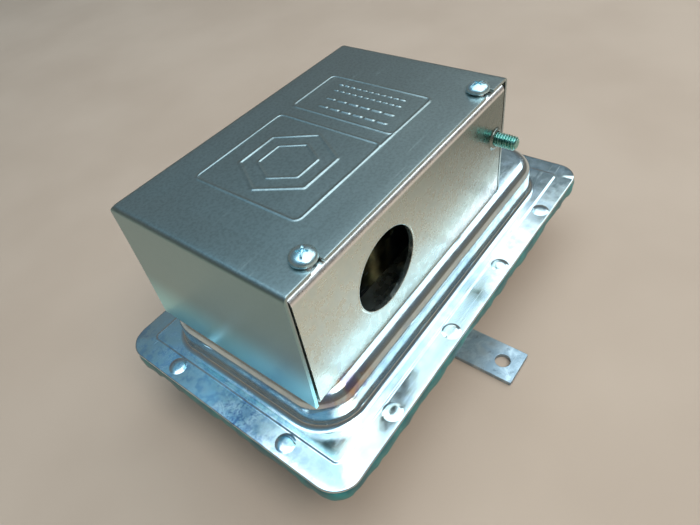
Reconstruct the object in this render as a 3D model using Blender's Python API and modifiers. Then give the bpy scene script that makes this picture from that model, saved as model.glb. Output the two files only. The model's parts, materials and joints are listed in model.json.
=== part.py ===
"""Diaphragm air-pressure switch under a sheet-metal electrical junction cover.

Metres, +Z up. The origin is the middle of the mounting strap's underside, between its two holes.
+X runs along the long side towards the exposed shelf of the pan, -Y faces the conduit hole.
"""

import math

import bmesh
import bpy
from mathutils import Matrix, Vector

MM = 0.001
GAP = 0.3 * MM  # clearance kept between touching pieces

# Mounting strap
STRAP_LENGTH = 110.0 * MM
STRAP_WIDTH = 12.7 * MM
STRAP_THICK = 1.6 * MM
STRAP_HOLE_SPACING = 98.4 * MM
STRAP_HOLE_R = 2.4 * MM

# Pans: deep-drawn sheet, flange and dish
SHEET = 0.9 * MM
FLANGE_CX = 0.6 * MM
FLANGE_HX = 71.2 * MM
FLANGE_HY = 42.4 * MM
FLANGE_R = 7.5 * MM
WALL_HX = 59.8 * MM
WALL_HY = 31.8 * MM
WALL_R = 11.4 * MM
FLANGE_TOP = 27.1 * MM
DISH_TOP = 39.6 * MM
SHOULDER_R = 5.0 * MM
FOOT_R = 2.0 * MM
STACK = 4.4 * MM  # both flanges, the diaphragm and the gasket together
LIP = 0.5 * MM  # how far the gasket is squeezed out past the flanges

# Flange rivets
RIVET_X = (14.9 * MM, 44.7 * MM)
RIVET_Y = 39.0 * MM
RIVET_END_X = 66.5 * MM
RIVET_END_Y = 21.3 * MM
RIVET_HEAD_R = 2.65 * MM
RIVET_SHANK_R = 1.3 * MM

# Enclosure: cover and front plate
BOX_X0 = -58.4 * MM
BOX_X1 = 33.6 * MM
BOX_Y0 = -28.4 * MM
BOX_Y1 = 28.6 * MM
BOX_TOP = 78.6 * MM
BOX_FLARE = 0.8 * MM  # how far the near end panel springs out at its foot
BEND_R = 1.5 * MM
COVER_SHEET = 0.9 * MM
PLATE_SHEET = 1.2 * MM
PLATE_X0 = -57.1 * MM
PLATE_X1 = 31.3 * MM
PLATE_Y = -28.8 * MM
PLATE_BEND_R = 2.0 * MM
PLATE_FLANGE = 11.0 * MM
CONDUIT_R = 11.2 * MM
CONDUIT_X = -27.4 * MM
CONDUIT_Z = 58.9 * MM

# Cover screws
SCREW_X = (-48.1 * MM, 23.5 * MM)
SCREW_Y = -24.8 * MM
SCREW_HEAD_R = 3.2 * MM
SCREW_R = 1.75 * MM
SLOT_HALF = 2.1 * MM

# Ground screw
GROUND_X = 27.6 * MM
GROUND_Z = 62.6 * MM
GROUND_R = 2.08 * MM
GROUND_OUT = 6.6 * MM

# Diaphragm stack
RIM_TOP = FLANGE_TOP - SHEET - GAP
WEB = 0.6 * MM
MEMBRANE_DROP = 7.0 * MM
BACKING_HX = 44.0 * MM
BACKING_HY = 20.5 * MM
BACKING_R = 9.0 * MM
PIN_X = -13.0 * MM
PIN_Y = 17.2 * MM

# Set-point spring, its tube and its screw
TUBE_R = 7.0 * MM
TUBE_BORE_R = 5.4 * MM
TUBE_TOP = 62.0 * MM
SPRING_R = 3.9 * MM
SPRING_WIRE_R = 0.45 * MM
SPRING_TURNS = 7
SEAT_TOP = 50.0 * MM

# Snap switch
SWITCH_LO = Vector((-46.0, 8.8, 51.0)) * MM
SWITCH_HI = Vector((3.0, 25.6, 70.0)) * MM
SWITCH_HOLES_X = (-34.2 * MM, -8.8 * MM)
SWITCH_HOLE_Z = 58.0 * MM
PLUNGER_X = -30.0 * MM
LEVER_PIVOT_X = -43.6 * MM
LEVER_Z = 48.7 * MM
TERMINALS = {"com": -39.0 * MM, "no": -21.5 * MM, "nc": -4.0 * MM}

# Sample ports, for 6.35 mm tube
UPPER_PORT = Vector((47.0, 0.0, 39.9)) * MM
LOWER_PORT = Vector((60.1, 12.0, 12.8)) * MM
PORT_TUBE_R = 3.25 * MM

parts = None
cutters = None


def start():
    """Empties the scene and makes the collections for the parts and the cutters."""
    global parts, cutters
    for old in list(bpy.data.objects):
        bpy.data.objects.remove(old, do_unlink=True)
    parts = bpy.data.collections.new("air_pressure_switch")
    cutters = bpy.data.collections.new("cutters")
    for each in (parts, cutters):
        bpy.context.scene.collection.children.link(each)


def material(name, color, roughness, metallic):
    """A Principled material."""
    made = bpy.data.materials.new(name)
    made.use_nodes = True
    shader = made.node_tree.nodes["Principled BSDF"]
    shader.inputs["Base Color"].default_value = (*color, 1.0)
    shader.inputs["Roughness"].default_value = roughness
    shader.inputs["Metallic"].default_value = metallic
    made.diffuse_color = (*color, 1.0)
    return made


def finish_materials():
    """One finish for each kind of surface."""
    return {
        "zinc_bright": material("zinc_bright", (0.66, 0.74, 0.76), 0.18, 1.0),
        "zinc_satin": material("zinc_satin", (0.45, 0.50, 0.53), 0.32, 1.0),
        "galvanized": material("galvanized", (0.42, 0.47, 0.50), 0.42, 1.0),
        "green_zinc": material("green_zinc", (0.05, 0.35, 0.28), 0.3, 1.0),
        "green_rubber": material("green_rubber", (0.02, 0.20, 0.18), 0.6, 0.0),
        "brass": material("brass", (0.72, 0.55, 0.25), 0.3, 1.0),
        "spring_steel": material("spring_steel", (0.55, 0.55, 0.55), 0.3, 1.0),
        "phenolic": material("phenolic", (0.02, 0.02, 0.022), 0.45, 0.0),
        "nylon": material("nylon", (0.6, 0.08, 0.05), 0.4, 0.0),
        "fish_paper": material("fish_paper", (0.25, 0.20, 0.14), 0.8, 0.0),
    }


def add(name, mesh, finish, collection=None):
    """Links a mesh as a named object with its finish."""
    obj = bpy.data.objects.new(name, mesh)
    (collection or parts).objects.link(obj)
    if finish is not None:
        mesh.materials.clear()
        mesh.materials.append(finish)
    return obj


def mesh_from(bm, name):
    """Turns a bmesh into mesh data with outward normals."""
    bmesh.ops.recalc_face_normals(bm, faces=bm.faces)
    mesh = bpy.data.meshes.new(name)
    bm.to_mesh(mesh)
    bm.free()
    return mesh


def box_mesh(lo, hi, name="box"):
    """A box between two corners."""
    lo = Vector(lo)
    hi = Vector(hi)
    bm = bmesh.new()
    bmesh.ops.create_cube(bm, size=1.0)
    bmesh.ops.scale(bm, vec=hi - lo, verts=bm.verts)
    bmesh.ops.translate(bm, vec=(lo + hi) / 2, verts=bm.verts)
    return mesh_from(bm, name)


def rod_mesh(start_at, end_at, radius, sides=20, end_radius=None, name="rod"):
    """A round rod or cone between two points."""
    start_at = Vector(start_at)
    end_at = Vector(end_at)
    along = end_at - start_at
    bm = bmesh.new()
    bmesh.ops.create_cone(
        bm,
        cap_ends=True,
        cap_tris=False,
        segments=sides,
        radius1=radius,
        radius2=radius if end_radius is None else end_radius,
        depth=along.length,
    )
    turn = Vector((0, 0, 1)).rotation_difference(along.normalized()).to_matrix().to_4x4()
    place = Matrix.Translation((start_at + end_at) / 2)
    bmesh.ops.transform(bm, matrix=place @ turn, verts=bm.verts)
    return mesh_from(bm, name)


def frozen(obj, name=None, finish=None, collection=None):
    """Replaces an object by a plain mesh object of its evaluated shape."""
    graph = bpy.context.evaluated_depsgraph_get()
    mesh = bpy.data.meshes.new_from_object(obj.evaluated_get(graph))
    mesh.transform(obj.matrix_world)
    keep = name or obj.name
    bpy.data.objects.remove(obj, do_unlink=True)
    bm = bmesh.new()
    bm.from_mesh(mesh)
    bmesh.ops.remove_doubles(bm, verts=bm.verts, dist=0.002 * MM)
    bmesh.ops.recalc_face_normals(bm, faces=bm.faces)
    bm.to_mesh(mesh)
    bm.free()
    return add(keep, mesh, finish, collection)


def outline(name, points, low, high, finish, axis="Z", holes=()):
    """A flat outline with round or square holes, extruded from low to high along an axis.

    Points are given in the plane's own two axes: XY for Z, XZ for Y (seen from -Y), YZ for X.
    """
    curve = bpy.data.curves.new(name, "CURVE")
    curve.dimensions = "2D"
    curve.fill_mode = "BOTH"
    curve.extrude = (high - low) / 2
    for loop in (points, *holes):
        spline = curve.splines.new("POLY")
        spline.points.add(len(loop) - 1)
        for point, (across, up) in zip(spline.points, loop):
            point.co = (across, up, 0.0, 1.0)
        spline.use_cyclic_u = True
    obj = bpy.data.objects.new(name, curve)
    parts.objects.link(obj)
    middle = (low + high) / 2
    if axis == "Z":
        obj.matrix_world = Matrix.Translation((0, 0, middle))
    elif axis == "Y":
        obj.matrix_world = Matrix.Translation((0, middle, 0)) @ Matrix.Rotation(math.pi / 2, 4, "X")
    else:
        stand = Matrix(((0, 0, 1, 0), (1, 0, 0, 0), (0, 1, 0, 0), (0, 0, 0, 1)))
        obj.matrix_world = Matrix.Translation((middle, 0, 0)) @ stand
    bpy.context.view_layer.update()
    return frozen(obj, name, finish)


def turned(name, profile, finish, place=None, steps=16, collection=None):
    """A turned piece: a profile of (radius, height) from its top down, spun about the Z axis."""
    mesh = bpy.data.meshes.new(name)
    verts = [(radius, 0.0, height) for radius, height in profile]
    edges = [(i, i + 1) for i in range(len(verts) - 1)]
    closed = abs(profile[0][0]) > 1e-9 or abs(profile[-1][0]) > 1e-9
    if closed:
        edges.append((len(verts) - 1, 0))
    mesh.from_pydata(verts, edges, [])
    obj = add(name, mesh, finish, collection)
    spin = obj.modifiers.new("spin", "SCREW")
    spin.angle = math.tau
    spin.steps = steps
    spin.render_steps = steps
    spin.use_merge_vertices = True
    spin.merge_threshold = 0.00001
    obj.matrix_world = place or Matrix.Identity(4)
    bpy.context.view_layer.update()
    return frozen(obj, name, finish, collection)


def cutter(mesh):
    """A hidden solid used by a Boolean."""
    obj = add("cut", mesh, None, cutters)
    obj.hide_render = True
    obj.display_type = "WIRE"
    return obj


def boolean(obj, tool, operation):
    """Adds a Boolean and applies it, so that the piece stays a plain mesh."""
    step = obj.modifiers.new(operation.lower(), "BOOLEAN")
    step.operation = operation
    step.solver = "EXACT"
    step.object = tool
    finish = obj.data.materials[0] if obj.data.materials else None
    made = frozen(obj, None, finish)
    bpy.data.objects.remove(tool, do_unlink=True)
    return made


def cut(obj, mesh):
    """Cuts a mesh shape out of a piece."""
    return boolean(obj, cutter(mesh), "DIFFERENCE")


def join(obj, mesh):
    """Joins a mesh shape to a piece."""
    return boolean(obj, cutter(mesh), "UNION")


def taken_mesh(obj):
    """Removes an object and gives its mesh, to serve as a Boolean's tool."""
    mesh = obj.data
    bpy.data.objects.remove(obj, do_unlink=True)
    return mesh


def smooth(obj, degrees=35.0):
    """Smooth shading that keeps the sharp edges."""
    obj.data.shade_smooth()
    obj.data.set_sharp_from_angle(angle=math.radians(degrees))


def arc(cx, cy, radius, from_deg, to_deg, steps):
    """Points along an arc."""
    turn = [math.radians(from_deg + (to_deg - from_deg) * i / steps) for i in range(steps + 1)]
    return [(cx + radius * math.cos(a), cy + radius * math.sin(a)) for a in turn]


def rounded_rect(half_x, half_y, radius, steps=5, cx=0.0, cy=0.0):
    """The outline of a rectangle with round corners."""
    points = []
    for sx, sy, turn in ((1, 1, 0), (-1, 1, 90), (-1, -1, 180), (1, -1, 270)):
        corner_x = cx + sx * (half_x - radius)
        corner_y = cy + sy * (half_y - radius)
        points += arc(corner_x, corner_y, radius, turn, turn + 90, steps)
    return points


def circle(cx, cy, radius, steps=20):
    """The outline of a circle."""
    return arc(cx, cy, radius, 0, 360 - 360 / steps, steps - 1)


def loft(name, rings, finish, facing):
    """A sheet through rounded rectangles (half_x, half_y, radius, height), first ring outermost.

    A fifth value, where there is one, is the rectangle's centre along X.

    Its outer face looks up where facing is 1, and down where it is -1.
    """
    bm = bmesh.new()
    loops = []
    for half_x, half_y, radius, height, *middle in rings:
        points = rounded_rect(half_x, half_y, radius, cx=sum(middle))
        verts = [bm.verts.new((x, y, height)) for x, y in points]
        loops.append([bm.edges.new((a, b)) for a, b in zip(verts, verts[1:] + verts[:1])])
    for outer, inner in zip(loops, loops[1:]):
        bmesh.ops.bridge_loops(bm, edges=outer + inner)
    bmesh.ops.contextual_create(bm, geom=loops[-1])
    bmesh.ops.recalc_face_normals(bm, faces=bm.faces)
    flat = max(bm.faces, key=lambda face: len(face.verts))
    if flat.normal.z * facing < 0:
        bmesh.ops.reverse_faces(bm, faces=bm.faces)
    mesh = bpy.data.meshes.new(name)
    bm.to_mesh(mesh)
    bm.free()
    return add(name, mesh, finish)


def thicken(obj, thickness, offset):
    """Gives a sheet its thickness and makes it a closed solid."""
    skin = obj.modifiers.new("thickness", "SOLIDIFY")
    skin.thickness = thickness
    skin.offset = offset
    skin.use_even_offset = True
    return frozen(obj, None, obj.data.materials[0])


def pan_rings(flange_z, flat_z, sign):
    """The rings of a pan's outer face, from the flange's edge to the flat of its dish."""
    rings = [(FLANGE_HX, FLANGE_HY, FLANGE_R, flange_z, FLANGE_CX)]
    for turn in (0, 30, 60, 90):
        out = FOOT_R * (1 - math.sin(math.radians(turn)))
        up = FOOT_R * (1 - math.cos(math.radians(turn)))
        rings.append((WALL_HX + out, WALL_HY + out, WALL_R + out, flange_z + sign * up))
    for turn in (0, 18, 36, 54, 72, 90):
        back = SHOULDER_R * (1 - math.cos(math.radians(turn)))
        up = SHOULDER_R * (1 - math.sin(math.radians(turn)))
        rings.append((WALL_HX - back, WALL_HY - back, WALL_R - back, flat_z - sign * up))
    return rings


def flange_rivet_spots():
    """The twelve places round the flange, four along each long side and two on each end."""
    spots = [(sx * x, sy * RIVET_Y) for x in RIVET_X for sx in (-1, 1) for sy in (-1, 1)]
    spots += [(sx * RIVET_END_X, sy * RIVET_END_Y) for sx in (-1, 1) for sy in (-1, 1)]
    return spots


def rod_at(x, y, low, high, radius, sides=16):
    """An upright rod mesh."""
    return rod_mesh((x, y, low), (x, y, high), radius, sides)


def cut_rods(obj, spots, low, high, radius, sides=16):
    """Drills upright holes at the given places in one cut."""
    bm = bmesh.new()
    for x, y in spots:
        bm.from_mesh(rod_at(x, y, low, high, radius, sides))
    return cut(obj, mesh_from(bm, "drills"))


FRONT_FOOT_RIVETS = [(-48.0 * MM, -22.5 * MM), (-11.0 * MM, -22.5 * MM), (24.0 * MM, -22.5 * MM)]
BRACKET_RIVETS = [(-38.0 * MM, 20.0 * MM), (-2.0 * MM, 20.0 * MM)]
STRAP_RIVETS = [(0.0, -20.0 * MM), (0.0, 20.0 * MM)]


def upper_pan(finish):
    """The shallow drawn dish that carries the enclosure."""
    pan = loft("upper_pan", pan_rings(FLANGE_TOP, DISH_TOP, 1), finish["zinc_bright"], 1)
    pan = thicken(pan, SHEET, -1.0)
    low = 20 * MM
    high = 45 * MM
    pan = cut_rods(pan, flange_rivet_spots(), low, high, RIVET_SHANK_R + GAP, 10)
    pan = cut_rods(pan, [(0.0, 0.0)], low, high, 5.9 * MM, 20)
    pan = cut_rods(pan, [(UPPER_PORT.x, UPPER_PORT.y)], low, high, 4.3 * MM, 16)
    pan = cut_rods(pan, [(PIN_X, PIN_Y)], low, high, 3.0 * MM, 12)
    pan = cut_rods(pan, FRONT_FOOT_RIVETS + BRACKET_RIVETS, low, high, 1.9 * MM, 10)
    smooth(pan)


def lower_pan(finish):
    """The deeper dish below the diaphragm."""
    flange_z = FLANGE_TOP - STACK
    bottom = STRAP_THICK + GAP
    pan = loft("lower_pan", pan_rings(flange_z, bottom, -1), finish["zinc_bright"], -1)
    pan = thicken(pan, SHEET, -1.0)
    pan = cut_rods(pan, flange_rivet_spots(), 15 * MM, 30 * MM, RIVET_SHANK_R + GAP, 10)
    pan = cut_rods(pan, STRAP_RIVETS, -2 * MM, 8 * MM, 1.9 * MM, 10)
    pan = cut(pan, rod_mesh((50 * MM, *LOWER_PORT.yz), (66 * MM, *LOWER_PORT.yz), 4.3 * MM, 16))
    smooth(pan)


def flange_rivets(finish):
    """Low domed rivets that clamp both flanges."""
    head = FLANGE_TOP + GAP
    tail = FLANGE_TOP - STACK - GAP
    profile = [(0.0, head + 0.85 * MM), (1.3 * MM, head + 0.7 * MM), (2.2 * MM, head + 0.35 * MM)]
    profile += [(RIVET_HEAD_R, head), (RIVET_SHANK_R, head - 0.01 * MM)]
    profile += [(RIVET_SHANK_R, tail), (2.2 * MM, tail - 0.01 * MM), (2.0 * MM, tail - 0.7 * MM)]
    profile += [(0.0, tail - 0.8 * MM)]
    for i, (x, y) in enumerate(flange_rivet_spots(), 1):
        place = Matrix.Translation((x, y, 0))
        smooth(turned(f"flange_rivet_{i:02d}", profile, finish["zinc_bright"], place, 12))


def plain_rivets(name, spots, low, high, head_r, shank_r, head_h, finish, flush_foot=False):
    """Rivets with a low head on top; the foot is upset unless it is flush."""
    for i, (x, y) in enumerate(spots, 1):
        profile = [(0.0, high + head_h), (head_r * 0.7, high + head_h * 0.8), (head_r, high)]
        profile += [(shank_r, high - 0.01 * MM), (shank_r, low)]
        if not flush_foot:
            profile += [(head_r * 0.85, low - 0.01 * MM), (head_r * 0.8, low - 0.6 * MM)]
            profile += [(0.0, low - 0.7 * MM)]
        else:
            profile += [(0.0, low)]
        smooth(turned(f"{name}_{i}", profile, finish, Matrix.Translation((x, y, 0)), 12))


def mount_strap(finish):
    """The strip under the lower pan, with a hole near each end."""
    points = rounded_rect(STRAP_WIDTH / 2, STRAP_LENGTH / 2, 0.5 * MM, 3)
    half = STRAP_HOLE_SPACING / 2
    holes = [circle(0.0, side * half, STRAP_HOLE_R, 24) for side in (-1, 1)]
    holes += [circle(x, y, 1.9 * MM, 12) for x, y in STRAP_RIVETS]
    outline("mount_strap", points, 0.0, STRAP_THICK, finish["galvanized"], holes=holes)
    low = 0.2 * MM
    high = STRAP_THICK + GAP + SHEET + GAP
    plain_rivets("strap_rivet", STRAP_RIVETS, low, high, 3.0 * MM, 1.6 * MM, 1.0 * MM,
                 finish["galvanized"], True)


def edge_gasket(finish):
    """The green sealing ring whose edge shows between the flanges."""
    high = RIM_TOP - WEB - GAP
    low = FLANGE_TOP - STACK + SHEET + GAP
    outer = rounded_rect(FLANGE_HX + LIP, FLANGE_HY + LIP, FLANGE_R + LIP, 6, cx=FLANGE_CX)
    inner = rounded_rect(61.0 * MM, 33.0 * MM, 12.0 * MM, 5)
    holes = [inner] + [circle(x, y, RIVET_SHANK_R + GAP, 10) for x, y in flange_rivet_spots()]
    outline("edge_gasket", outer, low, high, finish["green_rubber"], holes=holes)


def diaphragm(finish):
    """The flexible web: a clamped rim and a rolled drop to the plates in the middle."""
    low = RIM_TOP - MEMBRANE_DROP
    rings = [(FLANGE_HX - 0.3 * MM, FLANGE_HY - 0.3 * MM, FLANGE_R, RIM_TOP, FLANGE_CX)]
    rings += [(57.0 * MM, 29.0 * MM, 9.5 * MM, RIM_TOP)]
    rings += [(54.0 * MM, 27.0 * MM, 9.5 * MM, RIM_TOP - 0.35 * MEMBRANE_DROP)]
    rings += [(50.5 * MM, 24.5 * MM, 9.2 * MM, RIM_TOP - 0.8 * MEMBRANE_DROP)]
    rings += [(47.0 * MM, 22.5 * MM, 9.0 * MM, low)]
    web = loft("diaphragm", rings, finish["green_rubber"], 1)
    web = thicken(web, WEB, -1.0)
    web = cut_rods(web, flange_rivet_spots(), 20 * MM, 30 * MM, RIVET_SHANK_R + GAP, 10)
    web = cut_rods(web, [(0.0, 0.0)], 10 * MM, 30 * MM, 2.9 * MM, 12)
    smooth(web)
    return low


def diaphragm_stack(finish, web_top):
    """The plates on both sides of the diaphragm, their rivet and the pin that moves the switch."""
    upper_low = web_top + GAP
    upper_high = upper_low + 1.0 * MM
    lower_high = web_top - WEB - GAP
    lower_low = lower_high - 1.0 * MM
    plate = rounded_rect(BACKING_HX, BACKING_HY, BACKING_R, 5)
    hole = circle(0.0, 0.0, 2.9 * MM, 12)
    seat = circle(PIN_X, PIN_Y, 1.4 * MM, 10)
    outline("upper_backing_plate", plate, upper_low, upper_high, finish["zinc_satin"], holes=[hole, seat])
    outline("lower_backing_plate", plate, lower_low, lower_high, finish["zinc_satin"], holes=[hole])
    rivet = [(0.0, upper_high + 1.3 * MM), (2.2 * MM, upper_high + 1.1 * MM)]
    rivet += [(3.2 * MM, upper_high + GAP), (2.5 * MM, upper_high + 0.29 * MM)]
    rivet += [(2.5 * MM, lower_low - 0.29 * MM), (3.4 * MM, lower_low - GAP)]
    rivet += [(3.0 * MM, lower_low - 1.1 * MM), (0.0, lower_low - 1.2 * MM)]
    smooth(turned("center_rivet", rivet, finish["zinc_satin"], None, 16))
    pin = [(0.0, LEVER_Z - 0.6 * MM), (1.0 * MM, LEVER_Z - 0.8 * MM), (1.4 * MM, LEVER_Z - 1.4 * MM)]
    pin += [(1.4 * MM, upper_high + 1.5 * MM), (2.6 * MM, upper_high + 1.49 * MM)]
    pin += [(2.6 * MM, upper_high + GAP), (1.1 * MM, upper_high + 0.29 * MM)]
    pin += [(1.1 * MM, upper_low + 0.1 * MM), (0.0, upper_low + 0.1 * MM)]
    place = Matrix.Translation((PIN_X, PIN_Y, 0))
    smooth(turned("actuator_pin", pin, finish["brass"], place, 14))
    return upper_high


def pin_guide(finish):
    """The bushing that guides and seals the pin through the dish."""
    top = DISH_TOP + GAP
    profile = [(4.2 * MM, top + 2.0 * MM), (4.2 * MM, top), (2.7 * MM, top - 0.01 * MM)]
    profile += [(2.7 * MM, top - 3.0 * MM), (1.7 * MM, top - 3.0 * MM), (1.7 * MM, top + 2.0 * MM)]
    smooth(turned("pin_guide", profile, finish["brass"], Matrix.Translation((PIN_X, PIN_Y, 0)), 16))


def spring_group(finish, plate_top):
    """The set-point spring with its tube, seat and slotted screw."""
    top = DISH_TOP + GAP
    tube = [(TUBE_R, TUBE_TOP), (TUBE_R, top + 1.5 * MM), (9.0 * MM, top + 1.5 * MM), (9.0 * MM, top)]
    tube += [(5.6 * MM, top - 0.01 * MM), (5.6 * MM, top - 3.4 * MM)]
    tube += [(4.9 * MM, top - 3.4 * MM), (4.9 * MM, top), (TUBE_BORE_R, top + 0.6 * MM)]
    tube += [(TUBE_BORE_R, TUBE_TOP)]
    smooth(turned("spring_tube", tube, finish["brass"], None, 18))

    seat = [(0.0, SEAT_TOP), (5.0 * MM, SEAT_TOP), (5.0 * MM, SEAT_TOP - 1.5 * MM)]
    seat += [(2.8 * MM, SEAT_TOP - 1.51 * MM), (2.6 * MM, SEAT_TOP - 5.0 * MM)]
    seat += [(0.0, SEAT_TOP - 5.2 * MM)]
    smooth(turned("spring_seat", seat, finish["brass"], None, 20))

    low = SEAT_TOP + GAP
    screw = [(0.0, low + 8.0 * MM), (4.6 * MM, low + 8.0 * MM), (5.0 * MM, low + 7.5 * MM)]
    screw += [(5.0 * MM, low + 0.4 * MM), (4.6 * MM, low), (0.0, low)]
    plug = turned("adjusting_screw", screw, finish["brass"], None, 18)
    slot = box_mesh((-6 * MM, -0.7 * MM, low + 6.0 * MM), (6 * MM, 0.7 * MM, low + 10 * MM))
    smooth(cut(plug, slot))

    z_low = plate_top + GAP + SPRING_WIRE_R
    z_high = SEAT_TOP - 1.5 * MM - GAP - SPRING_WIRE_R
    spring_coil("calibration_spring", z_low, z_high, finish["spring_steel"])


def spring_coil(name, z_low, z_high, finish):
    """A compression spring with flat end turns."""
    per_turn = 10
    points = []
    total = SPRING_TURNS * per_turn
    for i in range(total + 1):
        turn = math.tau * i / per_turn
        share = min(max((i - per_turn) / (total - 2 * per_turn), 0.0), 1.0)
        ramp = 2.1 * SPRING_WIRE_R
        end_low = ramp * min(i / per_turn, 1.0)
        end_high = ramp * min(max(i - (total - per_turn), 0) / per_turn, 1.0)
        height = z_low + end_low + end_high + share * (z_high - z_low - 2 * ramp)
        points.append((SPRING_R * math.cos(turn), SPRING_R * math.sin(turn), height))
    curve = bpy.data.curves.new(name, "CURVE")
    curve.dimensions = "3D"
    curve.bevel_depth = SPRING_WIRE_R
    curve.bevel_resolution = 1
    curve.use_fill_caps = True
    spline = curve.splines.new("POLY")
    spline.points.add(len(points) - 1)
    for point, place in zip(spline.points, points):
        point.co = (*place, 1.0)
    obj = bpy.data.objects.new(name, curve)
    parts.objects.link(obj)
    bpy.context.view_layer.update()
    smooth(frozen(obj, name, finish), 60)


def strip(points, thickness):
    """The closed outline of a bent sheet: an open path of its outer face and the same path inset."""
    inner = []
    for i, (x, y) in enumerate(points):
        before = Vector(points[max(i - 1, 0)])
        after = Vector(points[min(i + 1, len(points) - 1)])
        along = (after - before).normalized()
        inner.append((x - along.y * thickness, y + along.x * thickness))
    return points + inner[::-1]


def cover(finish):
    """One bent sheet: a top, a back and two end panels, open at the front and below."""
    foot = DISH_TOP + GAP
    bm = bmesh.new()
    bmesh.ops.create_cube(bm, size=1.0)
    size = Vector((BOX_X1 - BOX_X0, BOX_Y1 - BOX_Y0, BOX_TOP - foot))
    middle = Vector((BOX_X0 + BOX_X1, BOX_Y0 + BOX_Y1, BOX_TOP + foot)) / 2
    bmesh.ops.scale(bm, vec=size, verts=bm.verts)
    bmesh.ops.translate(bm, vec=middle, verts=bm.verts)
    open_sides = [face for face in bm.faces if face.normal.z < -0.5 or face.normal.y < -0.5]
    bmesh.ops.delete(bm, geom=open_sides, context="FACES_ONLY")
    for vert in bm.verts:
        if vert.co.x < middle.x and vert.co.z < middle.z:
            vert.co.x -= BOX_FLARE
    bends = [edge for edge in bm.edges if len(edge.link_faces) == 2]
    bends = [edge for edge in bends if all(vert.co.z > middle.z for vert in edge.verts)]
    bmesh.ops.bevel(bm, geom=bends, offset=BEND_R, segments=4, profile=0.5, affect="EDGES")
    mesh = bpy.data.meshes.new("cover")
    bm.to_mesh(mesh)
    bm.free()
    shell = thicken(add("cover", mesh, finish["zinc_satin"]), COVER_SHEET, -1.0)
    for x in SCREW_X:
        slot = outline("slot", [(x - SLOT_HALF, BOX_Y0 - 2 * MM), (x + SLOT_HALF, BOX_Y0 - 2 * MM)]
                       + arc(x, SCREW_Y, SLOT_HALF, 0, 180, 10), 74 * MM, 82 * MM, None)
        shell = cut(shell, taken_mesh(slot))
    smooth(shell, 30)


def front_plate(finish):
    """The bent front sheet: top flange under the cover, conduit face, foot flange on the dish."""
    top = BOX_TOP - COVER_SHEET - GAP
    foot = DISH_TOP + GAP
    bend = PLATE_BEND_R
    path = [(PLATE_Y + PLATE_FLANGE, top)]
    path += arc(PLATE_Y + bend, top - bend, bend, 90, 180, 5)
    path += arc(PLATE_Y + bend, foot + bend, bend, 180, 270, 5)
    path += [(PLATE_Y + PLATE_FLANGE, foot)]
    plate = outline("front_plate", strip(path, PLATE_SHEET), PLATE_X0, PLATE_X1,
                    finish["zinc_bright"], axis="X")
    hole = rod_mesh((CONDUIT_X, PLATE_Y - 3 * MM, CONDUIT_Z), (CONDUIT_X, PLATE_Y + 5 * MM, CONDUIT_Z),
                    CONDUIT_R, 48)
    plate = cut(plate, hole)
    collar = rod_mesh((GROUND_X, PLATE_Y - 0.6 * MM, GROUND_Z), (GROUND_X, PLATE_Y + 0.5 * MM, GROUND_Z),
                      3.3 * MM, 24)
    plate = join(plate, collar)
    hole = rod_mesh((GROUND_X, PLATE_Y - 3 * MM, GROUND_Z), (GROUND_X, PLATE_Y + 5 * MM, GROUND_Z),
                    GROUND_R + 0.25 * MM, 20)
    plate = cut(plate, hole)
    plate = cut_rods(plate, [(x, SCREW_Y) for x in SCREW_X], 70 * MM, 80 * MM, SCREW_R + GAP, 16)
    plate = cut_rods(plate, FRONT_FOOT_RIVETS, 36 * MM, 44 * MM, 1.9 * MM, 10)
    smooth(plate, 30)
    low = DISH_TOP - SHEET - GAP
    high = DISH_TOP + GAP + PLATE_SHEET + GAP
    plain_rivets("front_plate_rivet", FRONT_FOOT_RIVETS, low, high, 2.8 * MM, 1.55 * MM, 1.0 * MM,
                 finish["zinc_bright"])


def pan_head(low, head_r, head_h, shank_r, shank_low):
    """The profile of a pan-head screw, top down, with its head's underside at low."""
    profile = [(0.0, low + head_h), (head_r * 0.55, low + head_h * 0.96)]
    profile += [(head_r * 0.85, low + head_h * 0.75), (head_r, low + head_h * 0.35), (head_r, low)]
    profile += [(shank_r, low - 0.01 * MM), (shank_r, shank_low + 0.6 * MM)]
    profile += [(shank_r * 0.75, shank_low), (0.0, shank_low)]
    return profile


def slot_cut(obj, place, radius, depth_from, width):
    """Cuts a screwdriver slot across a head that points along its own +Z."""
    mesh = box_mesh((-radius * 1.5, -width / 2, depth_from), (radius * 1.5, width / 2, depth_from + 0.02))
    mesh.transform(place)
    return cut(obj, mesh)


def cover_screws(finish):
    """The two screws that hold the cover to the front plate's flange."""
    low = BOX_TOP + GAP
    for name, x in zip(("near", "far"), SCREW_X):
        place = Matrix.Translation((x, SCREW_Y, 0))
        profile = pan_head(low, SCREW_HEAD_R, 2.1 * MM, SCREW_R, low - 9.0 * MM)
        screw = turned("cover_screw_" + name, profile, finish["zinc_bright"], place, 18)
        smooth(slot_cut(screw, place, SCREW_HEAD_R, low + 1.0 * MM, 0.9 * MM))


def ground_screw(finish):
    """The green screw through the front plate, head inside and thread outside."""
    head_low = PLATE_Y + PLATE_SHEET + GAP
    place = Matrix.Translation((GROUND_X, 0, GROUND_Z)) @ Matrix.Rotation(-math.pi / 2, 4, "X")
    profile = pan_head(head_low, 3.5 * MM, 2.6 * MM, GROUND_R, PLATE_Y - GROUND_OUT)
    screw = turned("ground_screw", profile, finish["green_zinc"], place, 18)
    smooth(slot_cut(screw, place, 3.5 * MM, head_low + 1.3 * MM, 1.1 * MM))


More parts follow.
